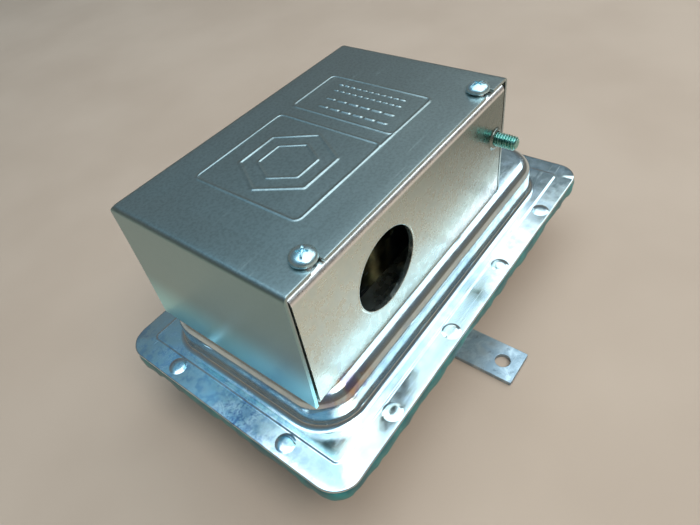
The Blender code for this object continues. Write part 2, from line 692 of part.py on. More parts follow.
def switch_group(finish):
    """The snap switch: body, plunger, lever, terminals, its bracket and fasteners."""
    body = add("switch_body", box_mesh(SWITCH_LO, SWITCH_HI), finish["phenolic"])
    middle_y = (SWITCH_LO.y + SWITCH_HI.y) / 2
    for offset in (-4.6 * MM, 4.6 * MM):
        ear_y = middle_y + offset
        lo = (LEVER_PIVOT_X - 1.9 * MM, ear_y - 0.6 * MM, LEVER_Z - 1.9 * MM)
        hi = (LEVER_PIVOT_X + 1.9 * MM, ear_y + 0.6 * MM, SWITCH_LO.z + 2 * MM)
        body = join(body, box_mesh(lo, hi))
    pivot = rod_mesh((LEVER_PIVOT_X, 0, LEVER_Z), (LEVER_PIVOT_X, 40 * MM, LEVER_Z), 0.95 * MM, 12)
    body = cut(body, pivot)
    bore_top = SWITCH_LO.z + 4 * MM
    bore = rod_mesh((PLUNGER_X, middle_y, 45 * MM), (PLUNGER_X, middle_y, bore_top), 2.1 * MM, 14)
    body = cut(body, bore)
    for x in SWITCH_HOLES_X:
        hole = rod_mesh((x, 0, SWITCH_HOLE_Z), (x, 40 * MM, SWITCH_HOLE_Z), 2.15 * MM, 14)
        body = cut(body, hole)
    for x in TERMINALS.values():
        body = cut(body, rod_at(x, middle_y, SWITCH_HI.z - 6 * MM, SWITCH_HI.z + MM, 2.1 * MM, 12))
    smooth(body)

    plunger = [(0.0, SWITCH_LO.z + 2.8 * MM), (1.8 * MM, SWITCH_LO.z + 2.8 * MM)]
    plunger += [(1.8 * MM, LEVER_Z + 0.9 * MM), (1.2 * MM, LEVER_Z + 0.65 * MM), (0.0, LEVER_Z + 0.6 * MM)]
    place = Matrix.Translation((PLUNGER_X, middle_y, 0))
    smooth(turned("switch_plunger", plunger, finish["nylon"], place, 14))

    blade = [(LEVER_PIVOT_X, LEVER_Z - GAP), (PIN_X + 5 * MM, LEVER_Z - GAP)]
    blade += [(PIN_X + 5 * MM, LEVER_Z + GAP), (LEVER_PIVOT_X, LEVER_Z + GAP)]
    half = 3.5 * MM
    steel = finish["spring_steel"]
    lever = outline("switch_lever", blade, middle_y - half, middle_y + half, steel, axis="Y")
    lever = join(lever, pivot_rod(middle_y, half, 1.6 * MM, 14))
    smooth(cut(lever, pivot_rod(middle_y, 12 * MM, 0.95 * MM, 12)))
    smooth(add("lever_pin", pivot_rod(middle_y, 5.6 * MM, 0.65 * MM, 12), steel))

    for key, x in TERMINALS.items():
        low = SWITCH_HI.z + GAP
        plate = [(x - 4.5 * MM, middle_y - 5 * MM), (x + 4.5 * MM, middle_y - 5 * MM)]
        plate += [(x + 4.5 * MM, middle_y + 5 * MM), (x - 4.5 * MM, middle_y + 5 * MM)]
        outline("terminal_" + key, plate, low, low + 0.8 * MM, finish["brass"],
                holes=[circle(x, middle_y, 2.1 * MM, 12)])
        place = Matrix.Translation((x, middle_y, 0))
        head = low + 0.8 * MM + GAP
        profile = pan_head(head, 3.1 * MM, 2.0 * MM, 1.75 * MM, SWITCH_HI.z - 5 * MM)
        screw = turned("terminal_screw_" + key, profile, finish["brass"], place, 16)
        smooth(slot_cut(screw, place, 3.1 * MM, head + 1.0 * MM, 0.8 * MM))

    sheet_y = SWITCH_HI.y + GAP
    paper = [(SWITCH_LO.x, 50 * MM), (SWITCH_HI.x, 50 * MM), (SWITCH_HI.x, 75 * MM), (SWITCH_LO.x, 75 * MM)]
    spots = [circle(x, SWITCH_HOLE_Z, 2.3 * MM, 14) for x in SWITCH_HOLES_X]
    outline("insulator", paper, sheet_y, sheet_y + 0.3 * MM, finish["fish_paper"], axis="Y", holes=spots)

    wall_y = sheet_y + 0.3 * MM + GAP
    wall_t = 1.0 * MM
    foot = DISH_TOP + GAP
    path = [(14 * MM, foot)] + arc(wall_y + wall_t - 1.8 * MM, foot + 1.8 * MM, 1.8 * MM, -90, 0, 4)
    path += [(wall_y + wall_t, 66 * MM)]
    bracket = outline("switch_bracket", strip(path, wall_t), SWITCH_LO.x, SWITCH_HI.x,
                      finish["zinc_satin"], axis="X")
    window = box_mesh((-24 * MM, 10 * MM, 38 * MM), (-7 * MM, 30 * MM, 49 * MM))
    bracket = cut(bracket, window)
    for x in SWITCH_HOLES_X:
        hole = rod_mesh((x, 20 * MM, SWITCH_HOLE_Z), (x, 32 * MM, SWITCH_HOLE_Z), 2.15 * MM, 14)
        bracket = cut(bracket, hole)
    bracket = cut_rods(bracket, BRACKET_RIVETS, 36 * MM, 44 * MM, 1.9 * MM, 10)
    smooth(bracket)
    low = DISH_TOP - SHEET - GAP
    high = foot + wall_t + GAP
    plain_rivets("switch_bracket_rivet", BRACKET_RIVETS, low, high, 2.6 * MM, 1.55 * MM, 0.9 * MM,
                 finish["zinc_satin"])

    for i, x in enumerate(SWITCH_HOLES_X, 1):
        place = Matrix.Translation((x, 0, SWITCH_HOLE_Z)) @ Matrix.Rotation(math.pi / 2, 4, "X")
        profile = pan_head(-SWITCH_LO.y + GAP, 3.4 * MM, 2.0 * MM, 1.8 * MM, -wall_y - wall_t + 0.1 * MM)
        screw = turned(f"switch_screw_{i}", profile, finish["zinc_bright"], place, 14)
        smooth(slot_cut(screw, place, 3.4 * MM, -SWITCH_LO.y + GAP + 1.1 * MM, 0.9 * MM))


def pivot_rod(middle_y, half, radius, sides):
    """A rod along the lever's pivot."""
    low = (LEVER_PIVOT_X, middle_y - half, LEVER_Z)
    high = (LEVER_PIVOT_X, middle_y + half, LEVER_Z)
    return rod_mesh(low, high, radius, sides)


def hexagon(radius):
    """A hexagon's outline by its corner radius."""
    return circle(0.0, 0.0, radius, 6)


def port(prefix, place, finish):
    """A compression fitting for a sample tube, built along +Z and then put in its place."""
    base = outline("base", hexagon(7.0 * MM), 0.0, 5.0 * MM, None)
    stem = [(5.0 * MM, 13.0 * MM), (5.0 * MM, 4.0 * MM), (4.0 * MM, 4.0 * MM), (4.0 * MM, -4.0 * MM)]
    stem += [(2.0 * MM, -4.0 * MM), (2.0 * MM, 7.0 * MM), (PORT_TUBE_R, 7.0 * MM), (PORT_TUBE_R, 13.0 * MM)]
    base = cut(base, rod_at(0, 0, -MM, 6 * MM, 3.0 * MM, 16))
    tube = turned("stem", stem, None, None, 16)
    body = join(tube, taken_mesh(base))
    body.name = prefix + "_port_body"
    body.data.materials.clear()
    body.data.materials.append(finish["zinc_bright"])
    body.data.transform(place)
    smooth(body)

    ring = [(4.2 * MM, 15.2 * MM), (4.8 * MM, 13.6 * MM), (4.2 * MM, 13.3 * MM)]
    ring += [(PORT_TUBE_R, 13.3 * MM), (PORT_TUBE_R, 15.2 * MM)]
    smooth(turned(prefix + "_port_ferrule", ring, finish["brass"], place, 16))

    nut = outline("nut", hexagon(7.3 * MM), 7.5 * MM, 18.0 * MM, None)
    inside = [(0.0, 19.0 * MM), (PORT_TUBE_R, 19.0 * MM), (PORT_TUBE_R, 16.2 * MM), (5.3 * MM, 15.6 * MM)]
    inside += [(5.3 * MM, 6.5 * MM), (0.0, 6.5 * MM)]
    bore = turned("bore", inside, None, None, 16)
    nut = cut(nut, taken_mesh(bore))
    nut.name = prefix + "_port_nut"
    nut.data.materials.clear()
    nut.data.materials.append(finish["brass"])
    nut.data.transform(place)
    smooth(nut)


def main():
    start()
    finish = finish_materials()
    upper_pan(finish)
    lower_pan(finish)
    flange_rivets(finish)
    mount_strap(finish)
    edge_gasket(finish)
    web_low = diaphragm(finish)
    plate_top = diaphragm_stack(finish, web_low)
    pin_guide(finish)
    spring_group(finish, plate_top)
    cover(finish)
    front_plate(finish)
    cover_screws(finish)
    ground_screw(finish)
    switch_group(finish)
    port("upper", Matrix.Translation(UPPER_PORT), finish)
    port("lower", Matrix.Translation(LOWER_PORT) @ Matrix.Rotation(math.pi / 2, 4, "Y"), finish)


main()
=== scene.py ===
"""Looks of the diaphragm air-pressure switch under its sheet-metal junction cover."""

import json
import math

import bmesh
import bpy
import numpy as np
from mathutils import Matrix, Vector

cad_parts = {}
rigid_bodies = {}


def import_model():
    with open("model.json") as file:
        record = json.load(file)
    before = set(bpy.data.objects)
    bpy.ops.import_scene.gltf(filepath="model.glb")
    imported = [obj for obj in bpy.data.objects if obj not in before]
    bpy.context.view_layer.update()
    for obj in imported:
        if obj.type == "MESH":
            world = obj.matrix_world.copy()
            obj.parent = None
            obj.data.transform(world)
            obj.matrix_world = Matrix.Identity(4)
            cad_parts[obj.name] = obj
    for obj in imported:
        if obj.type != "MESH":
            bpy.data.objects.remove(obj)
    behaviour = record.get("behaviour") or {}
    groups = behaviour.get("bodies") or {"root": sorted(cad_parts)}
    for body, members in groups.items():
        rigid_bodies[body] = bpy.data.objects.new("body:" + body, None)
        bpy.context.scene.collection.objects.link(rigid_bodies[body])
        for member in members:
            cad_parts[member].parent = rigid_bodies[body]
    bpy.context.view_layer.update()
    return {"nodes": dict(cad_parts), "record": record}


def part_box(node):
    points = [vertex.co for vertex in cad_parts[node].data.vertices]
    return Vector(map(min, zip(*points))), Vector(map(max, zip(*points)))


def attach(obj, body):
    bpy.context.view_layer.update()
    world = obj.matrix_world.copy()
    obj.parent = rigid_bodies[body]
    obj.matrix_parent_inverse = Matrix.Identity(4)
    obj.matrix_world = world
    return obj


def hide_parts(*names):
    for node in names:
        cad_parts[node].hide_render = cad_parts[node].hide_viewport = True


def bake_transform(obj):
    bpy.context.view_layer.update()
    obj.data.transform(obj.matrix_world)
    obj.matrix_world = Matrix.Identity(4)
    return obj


MM = 0.001

# places that several pieces share, in millimetres
PAN_TOP = 39.6  # the top of the upper pan's dish
FOOT = 39.9  # the underside of whatever stands on the dish
RIM = 27.1  # the top of the upper pan's flange
SHEET = 0.9  # the pans' thickness
FRONT = -28.8  # the front plate's outer face, along Y
CONDUIT = (-27.4, 58.9)  # the conduit hole's middle, along X and Z
GROUND = (27.6, 62.6)  # the ground screw's axis, along X and Z
COVER_SCREWS = ((-48.1, -24.8), (23.5, -24.8))
PIN = (-13, 17.2)  # the push pin's axis
UPPER_PORT = (47, 0)
LOWER_PORT = (12, 12.8)  # along Y and Z
SWITCH_SCREWS = (-34.2, -8.8)  # along X
SWITCH_SCREW_HEIGHT = 58
TERMINALS = {"com": -39, "no": -21.5, "nc": -4}  # along X
RIVETS = [(x, y) for y in (-39.0, 39.0) for x in (-44.7, -14.9, 14.9, 44.7)]
RIVETS += [(x, y) for x in (-66.5, 66.5) for y in (-21.3, 21.3)]  # round the flange

for leftover in list(bpy.data.objects):
    bpy.data.objects.remove(leftover)
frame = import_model()
scene = bpy.context.scene


# ---- mesh helpers

def link(name, mesh):
    """An object of this mesh, in the scene."""
    obj = bpy.data.objects.new(name, mesh)
    scene.collection.objects.link(obj)
    return obj


def solid(name, verts, faces):
    """An object from points in millimetres, with its faces looking out."""
    mesh = bpy.data.meshes.new(name)
    mesh.from_pydata((np.asarray(verts, float) * MM).tolist(), [], [list(f) for f in faces])
    bm = bmesh.new()
    bm.from_mesh(mesh)
    bmesh.ops.remove_doubles(bm, verts=bm.verts, dist=1e-6)
    bmesh.ops.recalc_face_normals(bm, faces=bm.faces)
    bm.to_mesh(mesh)
    bm.free()
    return link(name, mesh)


def bake(obj):
    """Turns an object's modifiers into its own mesh."""
    graph = bpy.context.evaluated_depsgraph_get()
    mesh = bpy.data.meshes.new_from_object(obj.evaluated_get(graph))
    obj.modifiers.clear()
    old = obj.data
    obj.data = mesh
    bpy.data.meshes.remove(old)
    return obj


def boolean(obj, other, operation):
    """Cuts, joins or intersects obj with another object, which is used up."""
    mod = obj.modifiers.new("boolean", "BOOLEAN")
    mod.operation = operation
    mod.solver = "EXACT"
    mod.object = other
    bake(obj)
    bpy.data.objects.remove(other)
    return obj


def cut(obj, other):
    """Cuts another object's shape away."""
    return boolean(obj, other, "DIFFERENCE")


def join(obj, other):
    """Fuses another object's shape on."""
    return boolean(obj, other, "UNION")


def drill(obj, start, end, radius, steps=48):
    """Cuts a plain round hole between two points."""
    return cut(obj, rod("c", start, end, radius, steps))


def bevel(obj, width, segments=2, angle=35):
    """Rounds the sharp edges, by a width in millimetres, and evens the shading."""
    mod = obj.modifiers.new("bevel", "BEVEL")
    mod.width = width * MM
    mod.segments = segments
    mod.limit_method = "ANGLE"
    mod.angle_limit = math.radians(angle)
    mod.use_clamp_overlap = True
    mod.miter_outer = "MITER_ARC"
    return bake(obj)


def soften(obj, angle=40):
    """Smooth shading that keeps flat faces flat."""
    obj.data.polygons.foreach_set("use_smooth", [True] * len(obj.data.polygons))
    obj.data.set_sharp_from_angle(angle=math.radians(angle))
    mod = obj.modifiers.new("normals", "WEIGHTED_NORMAL")
    mod.keep_sharp = True
    mod.weight = 80
    return bake(obj)


def merge(obj, *others):
    """Joins other objects' meshes into obj as they are."""
    bm = bmesh.new()
    bm.from_mesh(obj.data)
    for other in others:
        bm.from_mesh(other.data)
        bpy.data.objects.remove(other)
    bm.to_mesh(obj.data)
    bm.free()
    return obj


def place(obj, matrix):
    """Moves the mesh itself by a matrix whose translation is in millimetres."""
    moved = matrix.copy()
    moved.translation = matrix.translation * MM
    obj.data.transform(moved)
    return obj


def at(x, y, z):
    return Matrix.Translation((x, y, z))


def spin(degrees, axis):
    return Matrix.Rotation(math.radians(degrees), 4, axis)


def lathe(name, profile, steps=48):
    """A body turned about Z from (radius, height) points; both ends may lie on the axis."""
    verts, faces, rows = [], [], []
    angles = [2 * math.pi * i / steps for i in range(steps)]
    for radius, height in profile:
        count = 1 if radius < 1e-6 else steps
        rows.append([len(verts) + i % count for i in range(steps)])
        verts += [(radius * math.cos(a), radius * math.sin(a), height) for a in angles[:count]]
    for low, high in zip(rows, rows[1:]):
        for i in range(steps):
            j = (i + 1) % steps
            face = list(dict.fromkeys((low[i], low[j], high[j], high[i])))
            if len(face) > 2:
                faces.append(face)
    if profile[0] != profile[-1]:
        faces += [row for row in (rows[0][::-1], rows[-1]) if len(set(row)) > 1]
    return solid(name, verts, faces)


def arc(cx, cy, radius, start, end, steps):
    """Points on an arc, angles in degrees."""
    angles = np.radians(np.linspace(start, end, steps + 1))
    return [(cx + radius * math.cos(a), cy + radius * math.sin(a)) for a in angles]


def prism(name, outline, low, high):
    """An outline in X and Y raised from low to high."""
    return loft(name, np.array([[(x, y, z) for x, y in outline] for z in (low, high)]))


def block(name, lo, hi):
    """A box between two corners."""
    corners = [(lo[0], lo[1]), (hi[0], lo[1]), (hi[0], hi[1]), (lo[0], hi[1])]
    return prism(name, corners, lo[2], hi[2])


def rod(name, start, end, radius, steps=48):
    """A plain round rod between two points."""
    axis = Vector(end) - Vector(start)
    obj = lathe(name, [(radius, 0.0), (radius, axis.length)], steps)
    return place(obj, Matrix.Translation(start) @ axis.to_track_quat("Z", "Y").to_matrix().to_4x4())


def loft(name, rings, closed=False):
    """A skin over rings that all have the same number of points; the last may close on the first."""
    count, n = rings.shape[:2]
    faces = []
    for r in range(count if closed else count - 1):
        a, b = r * n, (r + 1) % count * n
        faces += [[a + i, a + (i + 1) % n, b + (i + 1) % n, b + i] for i in range(n)]
    if not closed:
        faces += [list(range(n))[::-1], [(count - 1) * n + i for i in range(n)]]
    return solid(name, rings.reshape(-1, 3), faces)


def thread(name, low, high, major, pitch, minor=None, steps=36, per_turn=10):
    """A rod with a real right-hand thread, along Z, that runs out at both ends."""
    minor = minor or major - 0.58 * pitch
    rows = max(2, int((high - low) / pitch * per_turn))
    heights = np.linspace(low, high, rows + 1)
    angles = np.arange(steps) * 2 * math.pi / steps
    phase = (heights[:, None] / pitch - angles[None, :] / (2 * math.pi)) % 1.0
    wave = np.clip(1.25 - 2.5 * np.abs(phase - 0.5), 0, 1)
    wave = wave * wave * (3 - 2 * wave)
    ends = np.minimum(heights - low, high - heights) / (0.8 * pitch)
    ends = np.clip(ends, 0, 1)[:, None]
    radius = minor - 0.15 * (1 - ends) + (major - minor) * wave * ends
    x, y = radius * np.cos(angles), radius * np.sin(angles)
    return loft(name, np.stack([x, y, np.repeat(heights[:, None], steps, 1)], -1))


def quads(index):
    """The four-sided faces of a grid of point numbers."""
    return np.stack([index[:-1, :-1], index[:-1, 1:], index[1:, 1:], index[1:, :-1]], -1).reshape(-1, 4)


def thicken(obj, thickness):
    """Gives an open sheet its thickness, on the side its faces look away from."""
    mod = obj.modifiers.new("sheet", "SOLIDIFY")
    mod.thickness = thickness * MM
    mod.offset = -1
    mod.use_even_offset = True
    return bake(obj)


def sheet_from(name, path, xs, thickness, shape=None):
    """A folded sheet: a path in Y and Z on its outer face, run along X and thickened."""
    grid = np.array([[(x, y, z) for x in xs] for y, z in path])
    if shape:
        shape(grid)
    faces = quads(np.arange(len(path) * len(xs)).reshape(len(path), len(xs)))
    mesh = bpy.data.meshes.new(name)
    mesh.from_pydata((grid.reshape(-1, 3) * MM).tolist(), [], faces.tolist())
    return thicken(link(name, mesh), thickness)


def rect_ring(hx, hy, radius, cx):
    """Points round a rounded rectangle, spread the same way whatever its size."""
    points = []
    x, y = hx - radius, hy - radius
    corners = [(x, -y), (x, y), (-x, y), (-x, -y)]
    for k, (bx, by) in enumerate(corners[1:] + corners[:1]):
        (ax, ay), steps = corners[k], (38, 64)[k % 2]
        turn = arc(bx, by, radius, 90 * k, 90 * k + 90, 14)
        px, py = turn[0]
        points += [(px - (bx - ax) * (1 - i / steps), py - (by - ay) * (1 - i / steps)) for i in range(steps)]
        points += turn[:-1]
    return np.array(points) + (cx, 0)


def ringed(name, rings, shape=None, closed=False):
    """A shell through rounded rectangles (half x, half y, corner, height, and middle along X)."""
    rows = []
    for hx, hy, radius, z, *middle in rings:
        points = rect_ring(hx, hy, radius, sum(middle))
        rows.append(np.column_stack([points, np.full(len(points), z)]))
    grid = np.array(rows)
    return loft(name, shape(grid) if shape else grid, closed)


# ---- materials

class Finish:
    """A node material, built one node at a time, with its patterns in the part's own millimetres."""

    def __init__(self, name):
        self.mat = bpy.data.materials.new(name)
        self.mat.use_nodes = True
        self.tree = self.mat.node_tree
        self.tree.nodes.clear()
        out = self.tree.nodes.new("ShaderNodeOutputMaterial")
        self.shader = self.tree.nodes.new("ShaderNodeBsdfPrincipled")
        self.tree.links.new(self.shader.outputs[0], out.inputs[0])
        coords = self.tree.nodes.new("ShaderNodeTexCoord")
        self.space = self.add("ShaderNodeVectorMath", {0: coords.outputs["Object"], "Scale": 1000.0},
                              operation="SCALE").outputs[0]

    def add(self, kind, inputs, **settings):
        """A node with these settings, whose inputs are sockets to link or plain values."""
        node = self.tree.nodes.new(kind)
        for key, value in settings.items():
            setattr(node, key, value)
        for key, value in inputs.items():
            if isinstance(value, bpy.types.NodeSocket):
                self.tree.links.new(value, node.inputs[key])
            else:
                node.inputs[key].default_value = value
        return node

    def noise(self, scale, detail=4.0, rough=0.55, stretch=None, turn=(0, 0, 0), seed=0.0, warp=0.0):
        """Noise from 0 to 1; scale is per millimetre."""
        vector = self.space
        if stretch or seed or any(turn):
            vector = self.add("ShaderNodeMapping", {
                "Vector": vector, "Rotation": tuple(math.radians(a) for a in turn),
                "Scale": stretch or (1, 1, 1), "Location": (seed, seed * 0.7, -seed),
            }).outputs[0]
        return self.add("ShaderNodeTexNoise", {
            "Vector": vector, "Scale": scale, "Detail": detail, "Roughness": rough, "Distortion": warp,
        }).outputs[0]

    def math(self, operation, a, b):
        return self.add("ShaderNodeMath", {0: a, 1: b}, operation=operation).outputs[0]

    def times(self, a, b):
        return self.math("MULTIPLY", a, b)

    def plus(self, a, b):
        return self.math("ADD", a, b)

    def remap(self, value, low, high, to_low=0.0, to_high=1.0):
        """Value from low..high to to_low..to_high, smoothly, and held there outside."""
        return self.add("ShaderNodeMapRange", {
            "Value": value, "From Min": low, "From Max": high, "To Min": to_low, "To Max": to_high,
        }, interpolation_type="SMOOTHSTEP").outputs[0]

    def mix(self, factor, a, b):
        """Colour a where factor is 0, b where it is 1."""
        a, b = ((*c, 1.0) if isinstance(c, tuple) else c for c in (a, b))
        return self.add("ShaderNodeMix", {0: factor, 6: a, 7: b}, data_type="RGBA").outputs[2]

    def scratches(self, angle, density=0.66, length=0.035, fine=2.4, seed=0.0):
        """Thin straight marks in one direction, 0 to 1."""
        lines = self.noise(1.0, 2.0, 0.5, stretch=(length, fine, fine), turn=(0, 0, angle), seed=seed)
        patches = self.noise(0.09, 2.0, seed=seed + 5)
        lines = self.remap(lines, density, density + 0.05)
        return self.times(lines, self.remap(patches, 0.45, 0.6))

    def near(self, point, radius, softness):
        """1 within radius of a point, falling to 0 over softness."""
        away = self.add("ShaderNodeVectorMath", {0: self.space, 1: point}, operation="DISTANCE").outputs[1]
        return self.remap(away, radius, radius + softness, 1.0, 0.0)

    def bump(self, layers):
        """Layers of (height, depth in millimetres), one over the other."""
        normal = None
        for height, depth in layers:
            inputs = {"Height": height, "Strength": 1.0, "Distance": depth * MM}
            if normal is not None:
                inputs["Normal"] = normal
            normal = self.add("ShaderNodeBump", inputs).outputs[0]
        self.tree.links.new(normal, self.shader.inputs["Normal"])

    def wire(self, colour, rough, metal=0.0):
        """Sets the surface shader's own inputs, and gives the finished material."""
        self.tree.links.new(colour, self.shader.inputs["Base Color"])
        self.tree.links.new(rough, self.shader.inputs["Roughness"])
        self.shader.inputs["Metallic"].default_value = metal
        return self.mat


def stains_and_painted_light(f, colour):
    """The plating's stains on the pans, the front plate and the cover screws, the plate's haze, and a painted
    dark reflection and painted highlights on the plate.
    """
    x, y, z = f.add("ShaderNodeSeparateXYZ", {0: f.space}).outputs
    # iridescent film where the pan is drawn hardest, at its near corner
    corner = f.near((-50.0, -33.0, 38.0), 2.0, 11.0)
    patchy = f.times(corner, f.remap(f.noise(0.3, 2.0, seed=21.0), 0.35, 0.6))
    tint = f.remap(f.noise(0.22, 1.0, seed=31.0), 0.42, 0.58)
    colour = f.mix(f.times(patchy, 0.75), colour, f.mix(tint, (0.42, 0.28, 0.52), (0.72, 0.42, 0.22)))
    # the near end of the flange is paler over most of its length, with blue blots and darker blue spots
    end = f.times(f.remap(x, -60.5, -62.5), f.remap(y, -38.0, -20.0, 0.35, 1.0))
    colour = f.mix(f.times(end, f.remap(y, 26.0, 10.0, 0.0, 0.9)), colour, (0.94, 1.0, 1.0))
    blot = f.remap(f.noise(0.30, 8.0, 0.75, seed=44.0), 0.47, 0.58)
    spots = f.remap(f.noise(0.9, 6.0, 0.8, seed=51.0), 0.48, 0.58)
    deep = f.times(f.near((-67.5, -5.0, RIM - 0.1), 2.0, 8.0), spots)
    colour = f.mix(f.times(f.times(end, blot), 0.55), colour, (0.34, 0.52, 0.74))
    colour = f.mix(f.times(f.times(end, deep), 0.8), colour, (0.16, 0.28, 0.52))
    # the standing plate is hazier than the pans; its far top gets a painted dark reflection, and its foot and
    # top bend get painted highlights
    plate = f.remap(z, PAN_TOP + 0.1, 41.0)
    rise = f.plus(x, f.times(f.math("SUBTRACT", z, 60.0), 1.7))
    # painted dark reflection: the plate's far top is mixed toward dark grey
    painted_dark_reflection = f.times(f.remap(rise, -40.0, 46.0), f.times(plate, 0.93))
    colour = f.mix(f.times(plate, 0.62), colour, (0.92, 0.99, 0.86))
    colour = f.mix(painted_dark_reflection, colour, (0.20, 0.24, 0.22))
    # painted highlights: the plate's foot and its top bend are mixed to white
    painted_highlight = f.times(f.remap(z, 50.0, 43.5), f.remap(x, -14.0, 14.0))
    painted_highlight = f.math("MAXIMUM", painted_highlight, f.remap(z, 75.2, 75.9))
    colour = f.mix(f.times(plate, painted_highlight), colour, (1.0, 1.0, 1.0))
    # the cover screws above it have a bluer plating
    return f.mix(f.remap(z, 78.2, 78.5), colour, (0.60, 0.83, 0.90)), plate


def grit_and_painted_end_light(f, colour, light):
    """The cover's fine grit, a painted shade on its near end panel, and a painted cyan reflection on that
    panel, stronger toward the foot.
    """
    x, _, z = f.add("ShaderNodeSeparateXYZ", {0: f.space}).outputs
    grit = f.noise(1.3, 4.0, 0.65, seed=14.0)
    colour = f.mix(f.remap(grit, 0.4, 0.66, 0.0, 0.5), colour, tuple(c * 0.62 for c in light))
    panel = f.remap(x, -57.6, -58.2)
    # painted shade: the near end panel is mixed darker than the top
    colour = f.mix(f.times(panel, 0.85), colour, (0.29, 0.46, 0.47))
    # painted reflection: the end panel turns cyan toward its foot
    low = f.times(panel, f.remap(z, 58.0, 43.0))
    return f.mix(f.times(low, 0.9), colour, (0.48, 0.95, 1.0))


def zinc(name, light, dark, rough, grain, grain_turn, mottled, pressed_parts=True):
    """Zinc plating: cloudy passivation, rolling grain, handling marks and slight waviness, with the painted
    light of the pressed parts or of the cover's near end.
    """
    f = Finish(name)
    cloud = f.noise(0.055, 4.0, 0.6, warp=0.6)
    fleck = f.noise(0.34, 3.0, 0.5, seed=3.0)
    stain = f.times(f.remap(f.plus(f.times(cloud, 0.6), f.times(fleck, 0.4)), 0.42, 0.66), mottled)
    colour = f.mix(stain, light, dark)
    streak = f.noise(1.0, 3.0, 0.6, stretch=grain, turn=(0, 0, grain_turn), seed=9.0)
    colour = f.mix(f.remap(streak, 0.35, 0.75, 0.0, 0.22), colour, tuple(c * 0.76 for c in light))
    marks = f.math("MAXIMUM", f.scratches(24, seed=1.0), f.scratches(-52, 0.68, seed=7.0))
    marks = f.math("MAXIMUM", marks, f.scratches(81, 0.69, 0.05, 1.7, seed=12.0))
    colour = f.mix(f.times(marks, 0.3), colour, tuple(min(1.0, c * 1.22) for c in light))
    shine = f.remap(fleck, 0.3, 0.75, rough - 0.04 * mottled, rough + 0.06 * mottled)
    shine = f.plus(shine, f.times(marks, 0.1))
    shine = f.plus(shine, f.times(stain, 0.06))
    if pressed_parts:
        colour, haze = stains_and_painted_light(f, colour)
        shine = f.plus(shine, f.times(haze, 0.12))
    else:
        colour = grit_and_painted_end_light(f, colour, light)
    f.bump([
        (f.noise(0.075, 2.0, seed=17.0), 0.07),
        (streak, 0.003),
        (f.noise(2.6, 3.0, seed=27.0), 0.0005 if pressed_parts else 0.0016),
        (f.math("SUBTRACT", 1.0, marks), 0.003),
    ])
    return f.wire(colour, shine, 1.0)


def galvanized():
    """Hot-dip zinc: faint spangle, dark wear and bright scratches."""
    f = Finish("galvanized")
    cells = f.add("ShaderNodeTexVoronoi", {"Vector": f.space, "Scale": 0.32, "Randomness": 1.0})
    tone = f.add("ShaderNodeSeparateColor", {0: cells.outputs["Color"]}).outputs[0]
    wear = f.noise(0.16, 6.0, 0.66, warp=0.8)
    colour = f.mix(f.remap(wear, 0.42, 0.62), (0.36, 0.47, 0.54), (0.60, 0.71, 0.77))
    colour = f.mix(f.remap(tone, 0.1, 0.9, 0.0, 0.35), colour, (0.26, 0.33, 0.40))
    dark = f.remap(f.noise(0.5, 5.0, 0.7, seed=4.0), 0.58, 0.68)
    colour = f.mix(f.times(dark, 0.55), colour, (0.12, 0.15, 0.19))
    marks = f.math("MAXIMUM", f.scratches(86, 0.64, seed=3.0), f.scratches(15, 0.66, seed=8.0))
    colour = f.mix(f.times(marks, 0.6), colour, (0.75, 0.8, 0.83))
    rough = f.remap(wear, 0.35, 0.7, 0.46, 0.30)
    f.bump([(wear, 0.02), (f.noise(1.8, 4.0, seed=6.0), 0.006), (f.math("SUBTRACT", 1.0, marks), 0.008)])
    return f.wire(colour, rough, 1.0)


def green_zinc():
    """Green-dyed plating, worn paler on its high spots."""
    f = Finish("green_zinc")
    cloud = f.noise(0.7, 4.0, 0.6)
    colour = f.mix(f.remap(cloud, 0.4, 0.62), (0.17, 0.44, 0.38), (0.28, 0.58, 0.54))
    worn = f.remap(f.noise(2.2, 4.0, 0.7, seed=2.0), 0.55, 0.68)
    colour = f.mix(f.times(worn, 0.6), colour, (0.62, 0.76, 0.74))
    f.bump([(f.noise(5.0, 3.0), 0.003)])
    return f.wire(colour, f.remap(cloud, 0.35, 0.7, 0.2, 0.34), 1.0)


def green_rubber():
    """Dark green rubber with a dusty bloom and a cloth texture."""
    f = Finish("green_rubber")
    cloud = f.noise(0.12, 5.0, 0.62)
    colour = f.mix(f.remap(cloud, 0.38, 0.64), (0.018, 0.13, 0.14), (0.045, 0.27, 0.25))
    dust = f.remap(f.noise(0.9, 5.0, 0.7, seed=5.0), 0.56, 0.72)
    colour = f.mix(f.times(dust, 0.3), colour, (0.20, 0.38, 0.36))
    weave = f.noise(3.2, 2.0, seed=8.0)
    f.bump([(cloud, 0.05), (weave, 0.02)])
    return f.wire(colour, f.remap(cloud, 0.3, 0.7, 0.28, 0.45))


def brass():
    """Turned brass, partly tarnished."""
    f = Finish("brass")
    tarnish = f.noise(0.22, 5.0, 0.62, warp=0.5)
    colour = f.mix(f.remap(tarnish, 0.42, 0.66), (0.83, 0.63, 0.30), (0.55, 0.38, 0.17))
    rings = f.noise(1.0, 2.0, stretch=(0.12, 0.12, 7.0))
    colour = f.mix(f.remap(rings, 0.4, 0.7, 0.0, 0.25), colour, (0.93, 0.77, 0.45))
    f.bump([(rings, 0.006), (f.noise(1.6, 4.0, seed=4.0), 0.004)])
    return f.wire(colour, f.remap(tarnish, 0.35, 0.7, 0.2, 0.38), 1.0)


